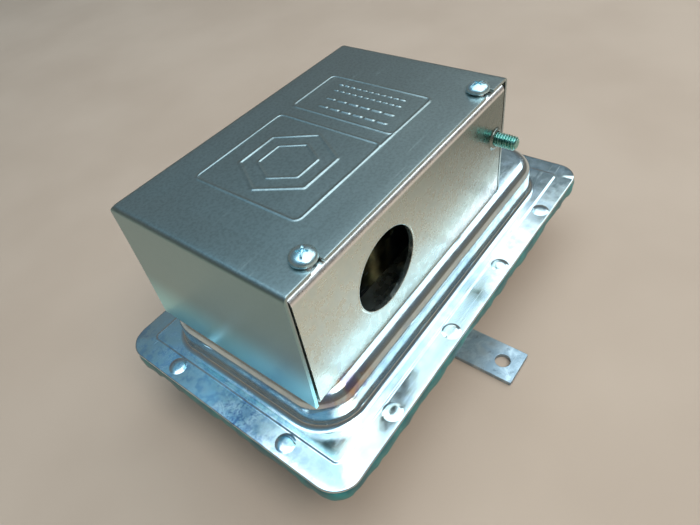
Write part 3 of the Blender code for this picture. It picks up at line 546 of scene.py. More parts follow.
def spring_steel():
    """Drawn steel with lengthwise grain."""
    f = Finish("spring_steel")
    drawn = f.noise(1.0, 3.0, stretch=(0.3, 4.0, 0.3))
    colour = f.mix(f.remap(drawn, 0.35, 0.7), (0.62, 0.62, 0.61), (0.40, 0.41, 0.43))
    f.bump([(drawn, 0.004)])
    return f.wire(colour, f.remap(drawn, 0.3, 0.7, 0.2, 0.36), 1.0)


def phenolic():
    """Black moulding with specks of filler."""
    f = Finish("phenolic")
    filler = f.noise(1.7, 5.0, 0.7)
    colour = f.mix(f.remap(filler, 0.5, 0.72), (0.012, 0.012, 0.013), (0.055, 0.045, 0.038))
    f.bump([(f.noise(0.8, 4.0, seed=3.0), 0.02), (filler, 0.006)])
    return f.wire(colour, f.remap(filler, 0.3, 0.7, 0.32, 0.5))


def nylon():
    """Red moulding."""
    f = Finish("nylon")
    cloud = f.noise(0.9, 3.0)
    colour = f.mix(f.remap(cloud, 0.3, 0.7), (0.52, 0.05, 0.035), (0.62, 0.09, 0.06))
    f.bump([(f.noise(4.0, 2.0), 0.006)])
    return f.wire(colour, f.remap(cloud, 0.3, 0.7, 0.3, 0.42))


def fish_paper():
    """Fibrous insulating paper."""
    f = Finish("fish_paper")
    fibre = f.noise(1.0, 5.0, 0.7, stretch=(0.5, 2.5, 2.5), turn=(20, 0, 35))
    colour = f.mix(f.remap(fibre, 0.35, 0.65), (0.20, 0.155, 0.10), (0.31, 0.25, 0.17))
    f.bump([(fibre, 0.02)])
    return f.wire(colour, f.remap(fibre, 0.3, 0.7, 0.6, 0.75))


FINISH = {
    "zinc_bright": zinc(
        "zinc_bright", (0.74, 0.85, 0.87), (0.50, 0.66, 0.78), 0.15, (0.05, 2.2, 2.2), 0, 0.75),
    "zinc_satin": zinc(
        "zinc_satin", (0.47, 0.56, 0.55), (0.43, 0.51, 0.52), 0.28, (0.06, 3.4, 3.4), 90, 0.08,
        pressed_parts=False),
    "galvanized": galvanized(),
    "green_zinc": green_zinc(),
    "green_rubber": green_rubber(),
    "brass": brass(),
    "spring_steel": spring_steel(),
    "phenolic": phenolic(),
    "nylon": nylon(),
    "fish_paper": fish_paper(),
}
SLOT = {row["node"]: row["material_slot"] for row in frame["record"]["subparts"]}
BODY = {n: body for body, members in frame["record"]["behaviour"]["bodies"].items() for n in members}


def paint(obj, node):
    """Gives a mesh the finish of a node."""
    obj.data.materials.clear()
    obj.data.materials.append(FINISH[SLOT[node]])


def replace(obj, node):
    """Gives a piece its node's finish and hides the node's own mesh, so the piece shows in its place."""
    paint(obj, node)
    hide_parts(node)


def stand_for(obj, node):
    """A piece that moves with its node's body."""
    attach(obj, BODY[node])
    replace(obj, node)


def bridge(obj, node):
    """A springy piece, baked where it stands with its node's finish; it follows no body."""
    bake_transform(obj)
    replace(obj, node)


# ---- the two pans

# half length, half width and corner radius
FLANGE = (71.2, 42.4, 7.5)
WALL = (59.8, 31.8, 11.4)
STEP = (64.2, 36.0, 1.6)
AHEAD = 0.6  # the flange's middle, along X
BEND_IN = 5.0  # from the dish's wall in to the middle of its top bend


def middle_rings(z):
    """Two rings on the flat middle of a dish."""
    return [(4.0, 2.5, 2.0, z), (30.0, 14.0, 6.0, z)]


def wall_ring(outward, z):
    """A ring this far out from the dish's wall."""
    return WALL[0] + outward, WALL[1] + outward, WALL[2] + outward, z


def flange_ring(inward, z):
    """A ring this far in from the flange's edge."""
    return FLANGE[0] - inward, FLANGE[1] - inward, FLANGE[2] - min(inward, 5.0), z, AHEAD


def step_ring(outward, z):
    """A ring this far out from the step pressed round the dish."""
    return STEP[0] + outward, STEP[1] + outward, STEP[2] + outward, z, AHEAD


def upper_rings():
    """The upper pan's outer face, from the dish's middle out, over the edge and back inside."""
    shelf = 27.4
    rings = middle_rings(PAN_TOP)
    bend = PAN_TOP - BEND_IN
    rings += [wall_ring(out - BEND_IN, z) for out, z in arc(0.0, bend, BEND_IN, 90, 0, 12)]
    rings += [(WALL[0] + 0.05, WALL[1] + 0.05, WALL[2], 33.0), (WALL[0] + 0.1, WALL[1] + 0.1, WALL[2], 31.0)]
    rings += [wall_ring(out, z) for out, z in arc(2.3, shelf + 2.2, 2.2, 180, 270, 9)]
    rings += [step_ring(-0.35, shelf), step_ring(-0.1, shelf - 0.03), step_ring(0.12, shelf - 0.17)]
    rings += [step_ring(0.32, RIM + 0.02), step_ring(0.6, RIM), step_ring(2.2, RIM)]
    edge = ((3.4, 0.0), (2.0, 0.0), (0.6, 0.0), (0.28, 0.03), (0.1, 0.13), (0.0, 0.35), (0.0, 0.75))
    edge += ((0.12, SHEET),)
    rings += [flange_ring(inward, RIM - down) for inward, down in edge]
    rings.append(wall_ring(2.0, RIM - SHEET))
    rings += [wall_ring(out - SHEET, z) for out, z in arc(2.0, 28.2, 2.0, 270, 180, 5)]
    rings += [wall_ring(out - BEND_IN, z) for out, z in arc(0.0, bend, BEND_IN - SHEET, 0, 90, 7)]
    return rings + middle_rings(PAN_TOP - SHEET)[::-1]


def pressed(grid):
    """Slight irregularity of a drawn flange: it bows between its rivets and is drawn down at them."""
    x, y, z = grid[..., 0], grid[..., 1], grid[..., 2]
    out = np.clip((np.maximum(np.abs(x) - 61.0, np.abs(y) - 33.5)) / 6.0, 0, 1)
    flange = out * (z > 22.0) * (z < RIM + 0.1)
    wave = 0.045 * np.sin(x * 0.21 + 0.6) + 0.035 * np.sin(x * 0.083 + y * 0.13) + 0.04 * np.sin(y * 0.26)
    lift = wave * flange
    for rx, ry in RIVETS:
        lift -= 0.07 * np.exp(-((x - rx) ** 2 + (y - ry) ** 2) / 18.0) * flange
    tilt = 0.035 * np.clip(np.abs(y) - 37.0, 0, 6) * (np.abs(x) < 66) * flange
    grid = grid.copy()
    grid[..., 2] = z + lift - 0.05 * flange - tilt
    return grid


upper = ringed("upper_pan_pressing", upper_rings(), pressed)
for (x, y), radius, steps in (((0, 0), 7.3, 48), (UPPER_PORT, 4.3, 48), (PIN, 2.6, 32)):
    drill(upper, (x, y, PAN_TOP - 3.6), (x, y, PAN_TOP + 2.4), radius, steps)
stand_for(soften(upper, 50), "upper_pan")


def lower_rings():
    """The lower pan's inner face, from its middle out, over the edge and back along its outer face."""
    bottom = 1.9
    bend = bottom + BEND_IN
    rings = middle_rings(bottom + SHEET)
    rings += [wall_ring(out - BEND_IN, z) for out, z in arc(0.0, bend, BEND_IN - SHEET, 270, 360, 6)]
    rings += [wall_ring(out - SHEET, z) for out, z in arc(2.9, 20.7, 2.9, 180, 90, 5)]
    rings += [flange_ring(0.7, 23.6), flange_ring(0.5, 23.4), flange_ring(0.5, 22.9), flange_ring(0.7, 22.7)]
    rings += [wall_ring(out, z) for out, z in arc(2.0, 20.7, 2.0, 90, 180, 8)]
    rings += [wall_ring(out - BEND_IN, z) for out, z in arc(0.0, bend, BEND_IN, 360, 270, 10)]
    return rings + middle_rings(bottom)[::-1]


lower = ringed("lower_pan_pressing", lower_rings(), pressed)
drill(lower, (56, *LOWER_PORT), (62, *LOWER_PORT), 4.3)
stand_for(soften(lower, 50), "lower_pan")


# ---- the rubber between the pans

def squeezed(grid):
    """The rubber lip is pushed out and hangs unevenly between the rivets."""
    x, y, z = grid[..., 0], grid[..., 1], grid[..., 2]
    run = np.where(np.abs(x - AHEAD) > 67.0, y + 13.0 * np.sign(x), x)
    swell = np.zeros_like(x)
    for k, phase in ((0.11, 0.4), (0.23, 2.1), (0.47, 4.0), (0.83, 1.2), (1.35, 5.1)):
        swell += np.sin(run * k + phase + 1.3 * np.sign(y)) * 0.5 / (1 + k)
    swell = np.clip(0.5 + swell * 0.75, 0, 1)
    edge = np.clip((np.maximum(np.abs(x - AHEAD) - 70.0, np.abs(y) - 41.2)) / 1.0, 0, 1)
    hang = 1.15 * swell * edge * np.clip((25.6 - z) / 2.0, 0, 1)
    drawn_in = (1 - swell) * edge * np.clip((26.0 - z) / 0.6, 0, 1)
    return np.stack([AHEAD + (x - AHEAD) * (1 - 0.0055 * drawn_in), y * (1 - 0.009 * drawn_in), z - hang], -1)


def gasket_rings():
    """The rubber's section: flat between the flanges, with a rounded lip that laps over both edges."""
    lip = (
        (4.0, 25.1), (1.35, 25.15), (1.15, 25.95), (0.9, 26.08), (0.4, 26.12), (0.1, 26.02), (-0.12, 25.75),
        (-0.36, 25.2), (-0.48, 24.5), (-0.46, 23.7), (-0.34, 23.1), (-0.08, 22.7), (0.25, 22.62),
        (0.42, 22.9), (0.46, 23.7), (4.0, 23.9))
    inner = (61.0, 33.0, 8.0)
    return [(*inner, 24.9)] + [flange_ring(inward, z) for inward, z in lip] + [(*inner, 23.9)]


gasket = ringed("rubber_edge", gasket_rings(), squeezed, closed=True)
stand_for(soften(gasket, 70), "edge_gasket")


# ---- the diaphragm and its backing plates

def web_rings():
    """The diaphragm's upper face, in from its rim and down its rolled drop, and back along its lower face."""
    rim, drop, thick = 25.9, 7.0, 0.6
    above = [flange_ring(1.5, rim), flange_ring(6.0, rim)]
    below = [flange_ring(1.5, rim - thick), flange_ring(6.0, rim - thick)]
    for t in np.linspace(0.0, 1.0, 15):
        z = rim - drop * t * t * (3 - 2 * t)
        roll = 0.3 * math.sin(math.pi * t)
        half_x, half_y, corner = 57 - 10 * t, 29 - 6.5 * t, 9.5 - 0.5 * t
        above.append((half_x, half_y, corner, z))
        below.append((half_x - roll, half_y - roll, corner - roll, z - thick))
    above.append((2.9, 2.9, 2.4, rim - drop))
    below.append((2.9, 2.9, 2.4, rim - drop - thick))
    return above + below[::-1]


web = ringed("rubber_web", web_rings(), closed=True)
cut(web, merge(*[rod("c", (x, y, 24.5), (x, y, 27), 1.5, 24) for x, y in RIVETS]))
bridge(soften(web, 50), "diaphragm")

for side, base, way in (("upper", 19.2, 1), ("lower", 18.0, -1)):
    rim = [(3.0, 3.0, 2.5, 0.0), (42.6, 19.1, 7.0, 0.0), (43.6, 20.1, 7.6, 0.12), (44.0, 20.5, 8.0, 0.45),
           (44.0, 20.5, 8.0, 0.9), (43.9, 20.4, 7.9, 1.0), (43.3, 19.8, 7.5, 1.0), (42.5, 19.0, 6.9, 0.8),
           (3.0, 3.0, 2.5, 0.8)]
    disc = ringed(side + "_backing_pressing", [(a, b, c, base + way * h) for a, b, c, h in rim], closed=True)
    if way > 0:
        drill(disc, (*PIN, 18), (*PIN, 22), 1.4, 28)
    stand_for(soften(disc, 50), side + "_backing_plate")


# ---- rivets

def dome(radius, height, base):
    """Half a low rivet head's profile above base: a flattened cap that eases into the sheet."""
    points = [(radius + 0.25, base - 0.03), (radius + 0.1, base + 0.03)]
    for t in np.linspace(0.06, 1.0, 14):
        r = radius * (1 - t)
        points.append((r, base + height * (1 - (r / radius) ** 3) ** 0.7))
    return points


def rivet(name, bottom, top, radius, height, flat=0.45, shank=1.3):
    """A set rivet: low crowned head, shank, and a flatter upset foot."""
    head = dome(radius, height, top)
    foot = [(r, bottom - (z - top) * flat) for r, z in head]
    return soften(lathe(name, foot[::-1] + [(shank, bottom), (shank, top)] + head, 44), 60)


for i, (x, y) in enumerate(RIVETS, 1):
    piece = rivet(f"flange_rivet_head_{i:02d}", 22.66, 26.98, 2.6, 0.40)
    lean = spin(1.6 * math.sin(7.0 * i), "X")
    place(piece, at(x, y, RIM - 0.1) @ lean @ at(0, 0, 0.1 - RIM))
    node = min(
        (n for n in frame["nodes"] if n.startswith("flange_rivet_")),
        key=lambda n: (sum(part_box(n), Vector()) / 2 - Vector((x, y, 25)) * MM).length,
    )
    stand_for(piece, node)


# ---- the cover

X0, X1, Y0, Y1, TOP = -58.4, 33.6, -28.4, 28.6, 78.6  # the cover's outer faces
BEND = 1.5  # the outer radius of its folds
DEPTH = TOP - BEND - FOOT  # of its sides, below the folds


def rib(distance, half, height):
    """Height of a rounded raised line, by distance from its middle."""
    t = np.clip(1 - distance / half, 0, 1)
    return height * t * t * (3 - 2 * t)


def to_segment(x, y, a, b):
    """Distance of grid points from a straight segment."""
    (ax, ay), (dx, dy) = a, (b[0] - a[0], b[1] - a[1])
    t = np.clip(((x - ax) * dx + (y - ay) * dy) / max(dx * dx + dy * dy, 1e-9), 0, 1)
    return np.hypot(x - ax - t * dx, y - ay - t * dy)


def rounded(lo, hi, radius):
    """The outline of a rectangle with small rounded corners."""
    points = []
    for cx, cy, start in ((hi[0], hi[1], 0), (lo[0], hi[1], 90), (lo[0], lo[1], 180), (hi[0], lo[1], 270)):
        px = cx - math.copysign(radius, cx - (lo[0] + hi[0]) / 2)
        py = cy - math.copysign(radius, cy - (lo[1] + hi[1]) / 2)
        points += arc(px, py, radius, start, start + 90, 4)
    return points


def hexagon(x, y, corner):
    """A hexagon's corners, by their distance from its middle."""
    return arc(x, y, corner, 0, 300, 5)


def loop(points):
    """The segments round a closed outline."""
    return list(zip(points, points[1:] + points[:1]))


def emboss(x, y):
    """The pressed pattern on the cover: two framed panels, a plain hexagon and plain rows of dashes."""
    low, high = -16.0, 17.8
    frames = loop(rounded((-40.2, low), (-8.4, high), 1.6)) + loop(rounded((-3.6, low), (15.1, high), 1.6))
    lines = [(segment, 0.5, 0.19) for segment in frames + [((-9.0, low), (-3.0, low))]]
    for size, half in ((12.4, 0.65), (7.6, 0.5)):
        lines += [(segment, half, 0.2) for segment in loop(hexagon(-24.2, 1.0, size))]
    dashes = ((-0.2, 2.4, 1.5, 0.65), (3.9, 2.4, 1.5, 0.65), (8.3, 1.2, 0.9, 0.42), (11.4, 1.2, 0.9, 0.42))
    for row, (across, long, gap, half) in enumerate(dashes):
        start = -11.5 + 0.6 * row
        while start + long < 13.0:
            lines.append((((across, start), (across, start + long)), half, 0.24))
            start += long + gap
    height = np.zeros_like(x)
    for (a, b), half, raised in lines:
        height = np.maximum(height, rib(to_segment(x, y, a, b), half, raised))
    return height * (0.84 + 0.16 * np.sin(x * 0.31 + 1.0) * np.sin(y * 0.23 + 2.0))


def spread(*parts):
    """Positions along one axis, from (start, end, spacing) runs."""
    values = []
    for start, end, spacing in parts:
        steps = max(1, round((end - start) / spacing))
        values += [start + (end - start) * i / steps for i in range(steps)]
    return np.array(values + [parts[-1][1]])


def cover_sheet():
    """One sheet, folded down at both ends and at the back, whose foot flares at the near end."""
    cols = spread((X0 + BEND, -41.4, 0.9), (-41.4, 16.2, 0.25), (16.2, X1 - BEND, 0.9))
    rows = spread((Y0, -27.0, 0.35), (-27.0, -17.2, 0.9), (-17.2, 19.0, 0.25), (19.0, Y1 - BEND, 0.9))
    x, y = np.meshgrid(cols, rows)
    sag = 0.10 * np.sin(x * 0.055 + 1.0) * np.cos(y * 0.06)
    edge = np.clip(np.minimum.reduce([x - cols[0], cols[-1] - x, rows[-1] - y, y - rows[0]]) / 9.0, 0, 1)
    z = TOP + emboss(x, y) + (sag - 0.10) * edge * edge * (3 - 2 * edge)
    z = np.minimum(z, TOP + 0.30)
    verts = [np.stack([x, y, z], -1).reshape(-1, 3)]
    index = np.arange(x.size).reshape(x.shape)
    faces = [quads(index)]
    count = x.size

    def skirt(edge_index, point):
        """One folded side, hung from an edge of the top."""
        nonlocal count
        previous = edge_index
        for s in np.concatenate([np.linspace(0, 1, 9)[1:], 1 + np.linspace(0, 1, 15)[1:]]):
            ring = point(s)
            now = np.arange(count, count + len(ring))
            count += len(ring)
            verts.append(ring)
            faces.append(quads(np.stack([previous, now])))
            previous = now

    def fold(s):
        """How far out and down from the bend's start, how far round it, and what share of the side, at s."""
        turned, share = min(s, 1.0), max(0.0, s - 1.0)
        a = turned * math.pi / 2
        return BEND * math.sin(a), BEND * (1 - math.cos(a)) + share * DEPTH, turned, share

    def end_panel(s, start, way, bulge, flare):
        """The panel at one end: way is -1 at the near end and 1 at the far one."""
        out, down, turned, share = fold(s)
        ys = Y0 + (rows - Y0) * ((Y1 - BEND + BEND * turned) - Y0) / (rows[-1] - Y0)
        bow = bulge * math.sin(math.pi * share) * np.sin(math.pi * (ys - Y0) / (Y1 - Y0))
        xs = start + way * (out + flare * share ** 1.6 - bow)
        return np.stack([xs, ys, np.full_like(ys, TOP - down)], -1)

    def back(s):
        out, down, turned, share = fold(s)
        inner = 1.5 - 0.38 * turned
        t = (cols - cols[0]) / (cols[-1] - cols[0])
        xs = X0 + inner + t * (X1 - X0 - 2 * inner)
        bow = 0.15 * math.sin(math.pi * share) * np.sin(math.pi * t)
        return np.stack([xs, Y1 - BEND + out - bow, np.full_like(xs, TOP - down)], -1)

    skirt(index[:, 0][::-1], lambda s: end_panel(s, X0 + BEND, -1, 0.16, 0.8)[::-1])
    skirt(index[:, -1], lambda s: end_panel(s, X1 - BEND, 1, 0.12, 0.0))
    skirt(index[-1, :][::-1], lambda s: back(s)[::-1])
    mesh = bpy.data.meshes.new("cover_folded")
    mesh.from_pydata((np.concatenate(verts) * MM).tolist(), [], np.concatenate(faces).tolist())
    bm = bmesh.new()
    bm.from_mesh(mesh)
    bmesh.ops.recalc_face_normals(bm, faces=bm.faces)
    up = max(bm.faces, key=lambda f: f.calc_area() if f.calc_center_median().z > 78 * MM else 0)
    if up.normal.z < 0:
        bmesh.ops.reverse_faces(bm, faces=bm.faces)
    bm.to_mesh(mesh)
    bm.free()
    return thicken(link("cover_folded", mesh), SHEET)


cover = cover_sheet()
for x, y in COVER_SCREWS:
    outline = [(x + 2.1, y - 6.0)] + arc(x, y, 2.1, 0, 180, 20) + [(x - 2.1, y - 6.0)]
    cut(cover, prism("c", outline, 70.0, 84.0))
stand_for(soften(bevel(cover, 0.16, 2, 60), 55), "cover")


# ---- the front plate

def plate_path():
    """The front plate's outer face, from its foot flange up to its top flange."""
    radius, low, high = 2.0, 41.9, 75.4
    path = [(-17.8, FOOT), (-21.0, FOOT), (-24.0, FOOT)]
    path += arc(FRONT + radius, low, radius, 180, 270, 8)[::-1]
    path += [(FRONT, z) for z in np.linspace(high, low, 24)[-2:0:-1]]
    path += arc(FRONT + radius, high, radius, 90, 180, 8)[::-1]
    return path + [(-24.0, high + radius), (-21.0, high + radius), (-17.8, high + radius)]


def flared(grid):
    """The plate's near edge follows the flare of the cover's near end."""
    drop = np.clip((75.4 - grid[..., 2]) / 33.5, 0, 1)
    grid[..., 0] -= 0.45 * drop ** 1.6 * np.clip((-50.0 - grid[..., 0]) / 7.0, 0, 1)


plate = sheet_from("front_plate_bent", plate_path(), np.linspace(-57.2, 31.3, 60), 1.2, flared)
for (x, z), radius, steps in ((CONDUIT, 11.2, 96), (GROUND, 2.15, 32)):
    drill(plate, (x, -40, z), (x, -20, z), radius, steps)
for x, y in COVER_SCREWS:
    drill(plate, (x, y, 74), (x, y, 79), 1.95, 28)
bevel(plate, 0.2, 3, 50)
collar = lathe("collar", [
    (2.15, -0.1), (2.15, 0.42), (2.3, 0.55), (2.6, 0.6), (2.85, 0.56), (3.08, 0.42), (3.2, 0.24), (3.3, 0.08),
    (3.5, 0.0), (3.5, -0.1), (2.15, -0.1)])
burr = lathe("burr", [
    (11.2, -0.1), (11.2, 0.04), (11.32, 0.12), (11.5, 0.1), (11.75, 0.0), (11.75, -0.1), (11.2, -0.1)], 96)
for ring, (x, z) in ((collar, GROUND), (burr, CONDUIT)):
    merge(plate, place(ring, at(x, FRONT, z) @ spin(90, "X")))
stand_for(soften(plate, 50), "front_plate")


# ---- screws

def pan_screw(name, radius, height, shank, length, turn):
    """A pan-head machine screw along Z, its head's underside at 0, with a slot across a small cross."""
    profile = [(0.0, 0.0), (radius * 0.95, 0.0), (radius, 0.1), (radius, height * 0.17)]
    for t in np.linspace(0.0, 1.0, 14)[1:]:
        a = t * math.pi / 2
        profile.append((radius * math.cos(a) ** 0.92, height * (0.17 + 0.83 * math.sin(a))))
    profile[-1] = (0.0, height)
    head = lathe(name, profile, 64)
    slot = block("c", (-radius * 1.2, -0.28, height - 0.5), (radius * 1.2, 0.28, height + 1))
    cut(head, place(slot, spin(turn, "Z")))
    for extra in (0, 90):
        wing = block("c", (-1.3, -0.3, height - 0.95), (1.3, 0.3, height + 1))
        cut(head, place(wing, spin(turn, "Z") @ spin(extra, "Z")))
    bevel(head, 0.07, 2, 45)
    return soften(merge(head, thread("t", -length, 0.02, shank, 0.8)), 50)


SEAT = 78.9  # the underside of the cover screws' heads
for (x, y), node, turn in zip(COVER_SCREWS, ("cover_screw_near", "cover_screw_far"), (35, -20)):
    piece = pan_screw(node + "_head", 3.15, 2.06, 1.72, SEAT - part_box(node)[0].z / MM, turn)
    stand_for(place(piece, at(x, y, SEAT)), node)

inside = -27.3  # the plate's inner face, which the ground screw's head bears on
ground = lathe("ground_screw_threaded", [
    (0.0, 0.0), (2.9, 0.0), (3.1, 0.15), (3.1, 1.2), (2.6, 1.9), (1.4, 2.1), (0.0, 2.15)])
cut(ground, block("c", (-4, -0.45, 1.1), (4, 0.45, 3)))
bevel(ground, 0.08, 2, 45)
merge(ground, thread("t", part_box("ground_screw")[0].y / MM - inside, 0.0, 2.06, 0.794))
place(soften(ground, 50), at(GROUND[0], inside, GROUND[1]) @ spin(-90, "X"))
stand_for(ground, "ground_screw")


# ---- the strap

strap = prism("mounting_strap", rounded((-6.35, -55.0), (6.35, 55.0), 0.5), 0.0, 1.6)
for y, radius in ((-49.2, 2.4), (49.2, 2.4), (-20, 2.0), (20, 2.0)):
    drill(strap, (0, y, -1), (0, y, 3), radius)
stand_for(soften(bevel(strap, 0.22, 3, 50), 50), "mount_strap")


# ---- plain fasteners

def slotted_screw(name, radius, height, shank, length, slot, turn):
    """A slotted cheese-head screw along Z, the underside of its head at 0."""
    head = lathe(name, [
        (0.0, 0.0), (radius - 0.15, 0.0), (radius, 0.12), (radius - 0.05, height * 0.6),
        (radius - 0.35, height * 0.86), (radius - 0.9, height), (0.0, height)], 56)
    groove = block("c", (-radius * 1.3, -slot / 2, height * 0.45), (radius * 1.3, slot / 2, height + 1))
    cut(head, place(groove, spin(turn, "Z")))
    bevel(head, 0.07, 2, 45)
    return soften(merge(head, thread("t", -length, 0.02, shank, 0.7)), 50)


for i, x in enumerate((-48, -11, 24), 1):
    piece = rivet(f"front_plate_rivet_set_{i}", 38.4, 41.12, 2.5, 1.2, 0.55, 1.8)
    stand_for(place(piece, at(x, -22.5, 0)), f"front_plate_rivet_{i}")
for i, x in enumerate((-38, -2), 1):
    piece = rivet(f"bracket_rivet_set_{i}", 38.4, 40.92, 2.35, 1.1, 0.6, 1.5)
    stand_for(place(piece, at(x, 20, 0)), f"switch_bracket_rivet_{i}")
for i, y in enumerate((-20, 20), 1):
    profile = [(0.0, 0.2), (1.7, 0.2), (1.9, 0.4), (1.9, 2.84)] + dome(2.7, 1.2, 2.86)
    piece = lathe(f"strap_rivet_set_{i}", profile, 44)
    stand_for(place(soften(piece, 60), at(0, y, 0)), f"strap_rivet_{i}")
stand_for(rivet("center_rivet_set", 16.95, 20.25, 3.1, 1.2, 0.9, 2.5), "center_rivet")


# ---- the sample ports

def wrench_hex(name, corner, low, high, upper=None):
    """A hexagon bar with its corners turned off at the ends, or turned to a shoulder above."""
    flat = corner * 0.866
    turned = [(0.0, low), (flat - 0.05, low), (corner + 0.05, low + 0.5)]
    turned += upper or [(corner + 0.05, high - 0.5), (flat - 0.05, high), (0.0, high)]
    bar = prism(name, hexagon(0, 0, corner), low - 1, high + 1)
    return bevel(boolean(bar, lathe("c", turned, 90), "INTERSECT"), 0.12, 2, 25)


for side, seat in (("upper", at(*UPPER_PORT, FOOT)), ("lower", at(60.1, *LOWER_PORT) @ spin(90, "Y"))):
    fitting = wrench_hex(side + "_port_fitting", 7.0, 0.0, 5.0)
    join(fitting, thread("t", 4.5, 13.0, 5.0, 1.0, steps=48))
    join(fitting, lathe("c", [(0.0, -4.0), (3.7, -4.0), (4.0, -3.7), (4.0, 1.0), (0.0, 1.0)]))
    cut(fitting, lathe("c", [
        (0.0, -5.0), (2.0, -5.0), (2.0, 7.0), (3.25, 7.2), (3.25, 12.7), (3.6, 13.1), (3.6, 14), (0.0, 14)]))
    stand_for(place(soften(fitting, 40), seat), side + "_port_body")
    ring = lathe(side + "_port_sleeve", [
        (3.25, 13.4), (4.0, 13.3), (4.75, 13.6), (4.8, 14.0), (4.4, 14.9), (4.1, 15.2), (3.25, 15.2),
        (3.25, 13.4)], 56)
    stand_for(place(soften(ring, 40), seat), side + "_port_ferrule")
    shoulder = [(7.35, 15.0), (6.4, 15.7), (5.9, 16.0), (5.75, 16.4), (5.7, 17.6), (5.3, 18.0), (0.0, 18.0)]
    nut = wrench_hex(side + "_port_nut_turned", 7.3, 7.5, 18.0, shoulder)
    cut(nut, lathe("c", [
        (0.0, 6.0), (5.6, 6.0), (5.6, 7.6), (5.3, 7.9), (5.3, 15.4), (3.25, 16.2), (3.25, 17.6), (3.6, 18.1),
        (3.6, 19), (0.0, 19)], 56))
    stand_for(place(soften(nut, 35), seat), side + "_port_nut")


# ---- the set-point spring, its tube and screw

def coil(name, first, last):
    """The turns from first to last of a compression spring with closed, flat end turns."""
    radius, wire, turns, low, high = 3.9, 0.45, 7, 20.95, 47.75
    per_turn, around = 40, 14
    t = np.linspace(first, last, round((last - first) * per_turn) + 1)
    ramp = 2.1 * wire
    share = np.clip((t - 1) / (turns - 2), 0, 1)
    height = low + ramp * (np.clip(t, 0, 1) + np.clip(t - turns + 1, 0, 1)) + share * (high - low - 2 * ramp)
    angle = 2 * math.pi * t
    out = np.stack([np.cos(angle), np.sin(angle), 0 * t], -1)
    middle = out * radius + np.stack([0 * t, 0 * t, height], -1)
    ahead = np.gradient(middle, axis=0)
    ahead /= np.linalg.norm(ahead, axis=1)[:, None]
    side = np.cross(ahead, out)
    round_wire = (2 * math.pi * np.arange(around) / around)[:, None]
    section = out[:, None] * np.cos(round_wire) + side[:, None] * np.sin(round_wire)
    return loft(name, middle[:, None] + wire * section)


# the spring's lower half and its upper half, as two pieces
for part, first, last, other, start, end in (
    ("lower", 0.0, 3.4995, "diaphragm_stack", 33.5, 21.6), ("upper", 3.5005, 7.0, "spring_seat", 35.2, 47.1),
):
    half = soften(coil("set_point_spring_" + part, first, last), 60)
    bridge(half, "calibration_spring")

tube = lathe("spring_tube_turned", [
    (5.6, 36.5), (5.6, 39.86), (8.7, FOOT), (9.0, 40.2), (9.0, 41.1), (8.7, 41.4), (7.4, 41.4), (7.0, 41.8),
    (7.0, 57.4), (6.8, 57.6), (6.8, 58.2), (7.0, 58.4), (7.0, 61.6), (6.6, 62.0), (5.9, 62.0), (5.4, 61.5),
    (5.4, 40.5), (4.9, FOOT), (4.9, 36.5), (5.6, 36.5)], 64)
cut(tube, thread("t", 48.5, 63.0, 5.78, 1.0, 5.3, steps=56))
stand_for(soften(tube, 40), "spring_tube")
piece = lathe("spring_seat_turned", [
    (0.0, 44.8), (2.2, 44.85), (2.6, 45.3), (2.8, 48.3), (3.0, 48.5), (4.75, 48.5), (5.0, 48.75),
    (5.0, 49.75), (4.75, 50.0), (1.2, 50.0), (0.6, 49.6), (0.0, 49.5)])
stand_for(soften(piece, 40), "spring_seat")
plug = thread("set_point_screw", 50.3, 58.3, 5.0, 1.0, 4.62, steps=56)
cut(plug, block("c", (-6, -0.7, 56.3), (6, 0.7, 60)))
stand_for(soften(plug, 50), "adjusting_screw")
piece = lathe("pin_bushing", [
    (1.7, 36.9), (2.5, 36.9), (2.7, 37.1), (2.7, 39.86), (3.9, FOOT), (4.2, 40.2), (4.2, 41.5), (3.8, 41.9),
    (2.1, 41.9), (1.7, 41.5), (1.7, 36.9)])
stand_for(place(soften(piece, 40), at(*PIN, 0)), "pin_guide")
piece = lathe("push_pin", [
    (0.0, 19.3), (1.1, 19.3), (1.1, 20.49), (2.5, 20.5), (2.6, 20.6), (2.6, 21.5), (2.3, 21.7), (1.5, 21.7),
    (1.4, 21.85), (1.4, 46.6), (1.28, 47.25), (0.95, 47.75), (0.5, 48.02), (0.0, 48.1)])
stand_for(place(soften(piece, 50), at(*PIN, 0)), "actuator_pin")


# ---- the snap switch

LOW, HIGH = (-46.0, 8.8, 51.0), (3.0, 25.6, 70.0)  # the moulding's corners
MIDDLE = PIN[1]  # of the switch, along Y
BUTTON = -30  # the plunger's axis, along X
PIVOT = (-43.6, 48.7)  # the lever pin's axis, along X and Z


def across(obj, x, z, start, end, radius, steps=32):
    """Drills along Y."""
    return drill(obj, (x, start, z), (x, end, z), radius, steps)


body = block("switch_moulding", LOW, HIGH)
for y in (MIDDLE - 4.6, MIDDLE + 4.6):
    ear = lathe("c", [(1.9, 0.0), (1.9, 1.2)], 32)
    join(body, place(ear, at(PIVOT[0], y + 0.6, PIVOT[1]) @ spin(90, "X")))
    join(body, block("c", (PIVOT[0] - 1.88, y - 0.59, PIVOT[1]), (PIVOT[0] + 1.88, y + 0.59, 52)))
for x in (-30.25, -12.75):  # grooves between the terminals
    cut(body, block("c", (x - 0.6, 5, 68.4), (x + 0.6, 30, 72)))
cut(body, block("c", (-29.5, 5, 53.5), (-13.5, LOW[1] + 0.35, 66.5)))
bevel(body, 0.32, 3, 50)
for low, high in ((-50, LOW[0] + 0.25), (HIGH[0] - 0.25, 7)):  # the line where its halves meet
    cut(body, block("c", (low, MIDDLE - 0.15, 50.5), (high, MIDDLE + 0.15, 72)))
across(body, *PIVOT, 8, 26, 0.95, 28)
drill(body, (BUTTON, MIDDLE, 45), (BUTTON, MIDDLE, 55), 2.1, 32)
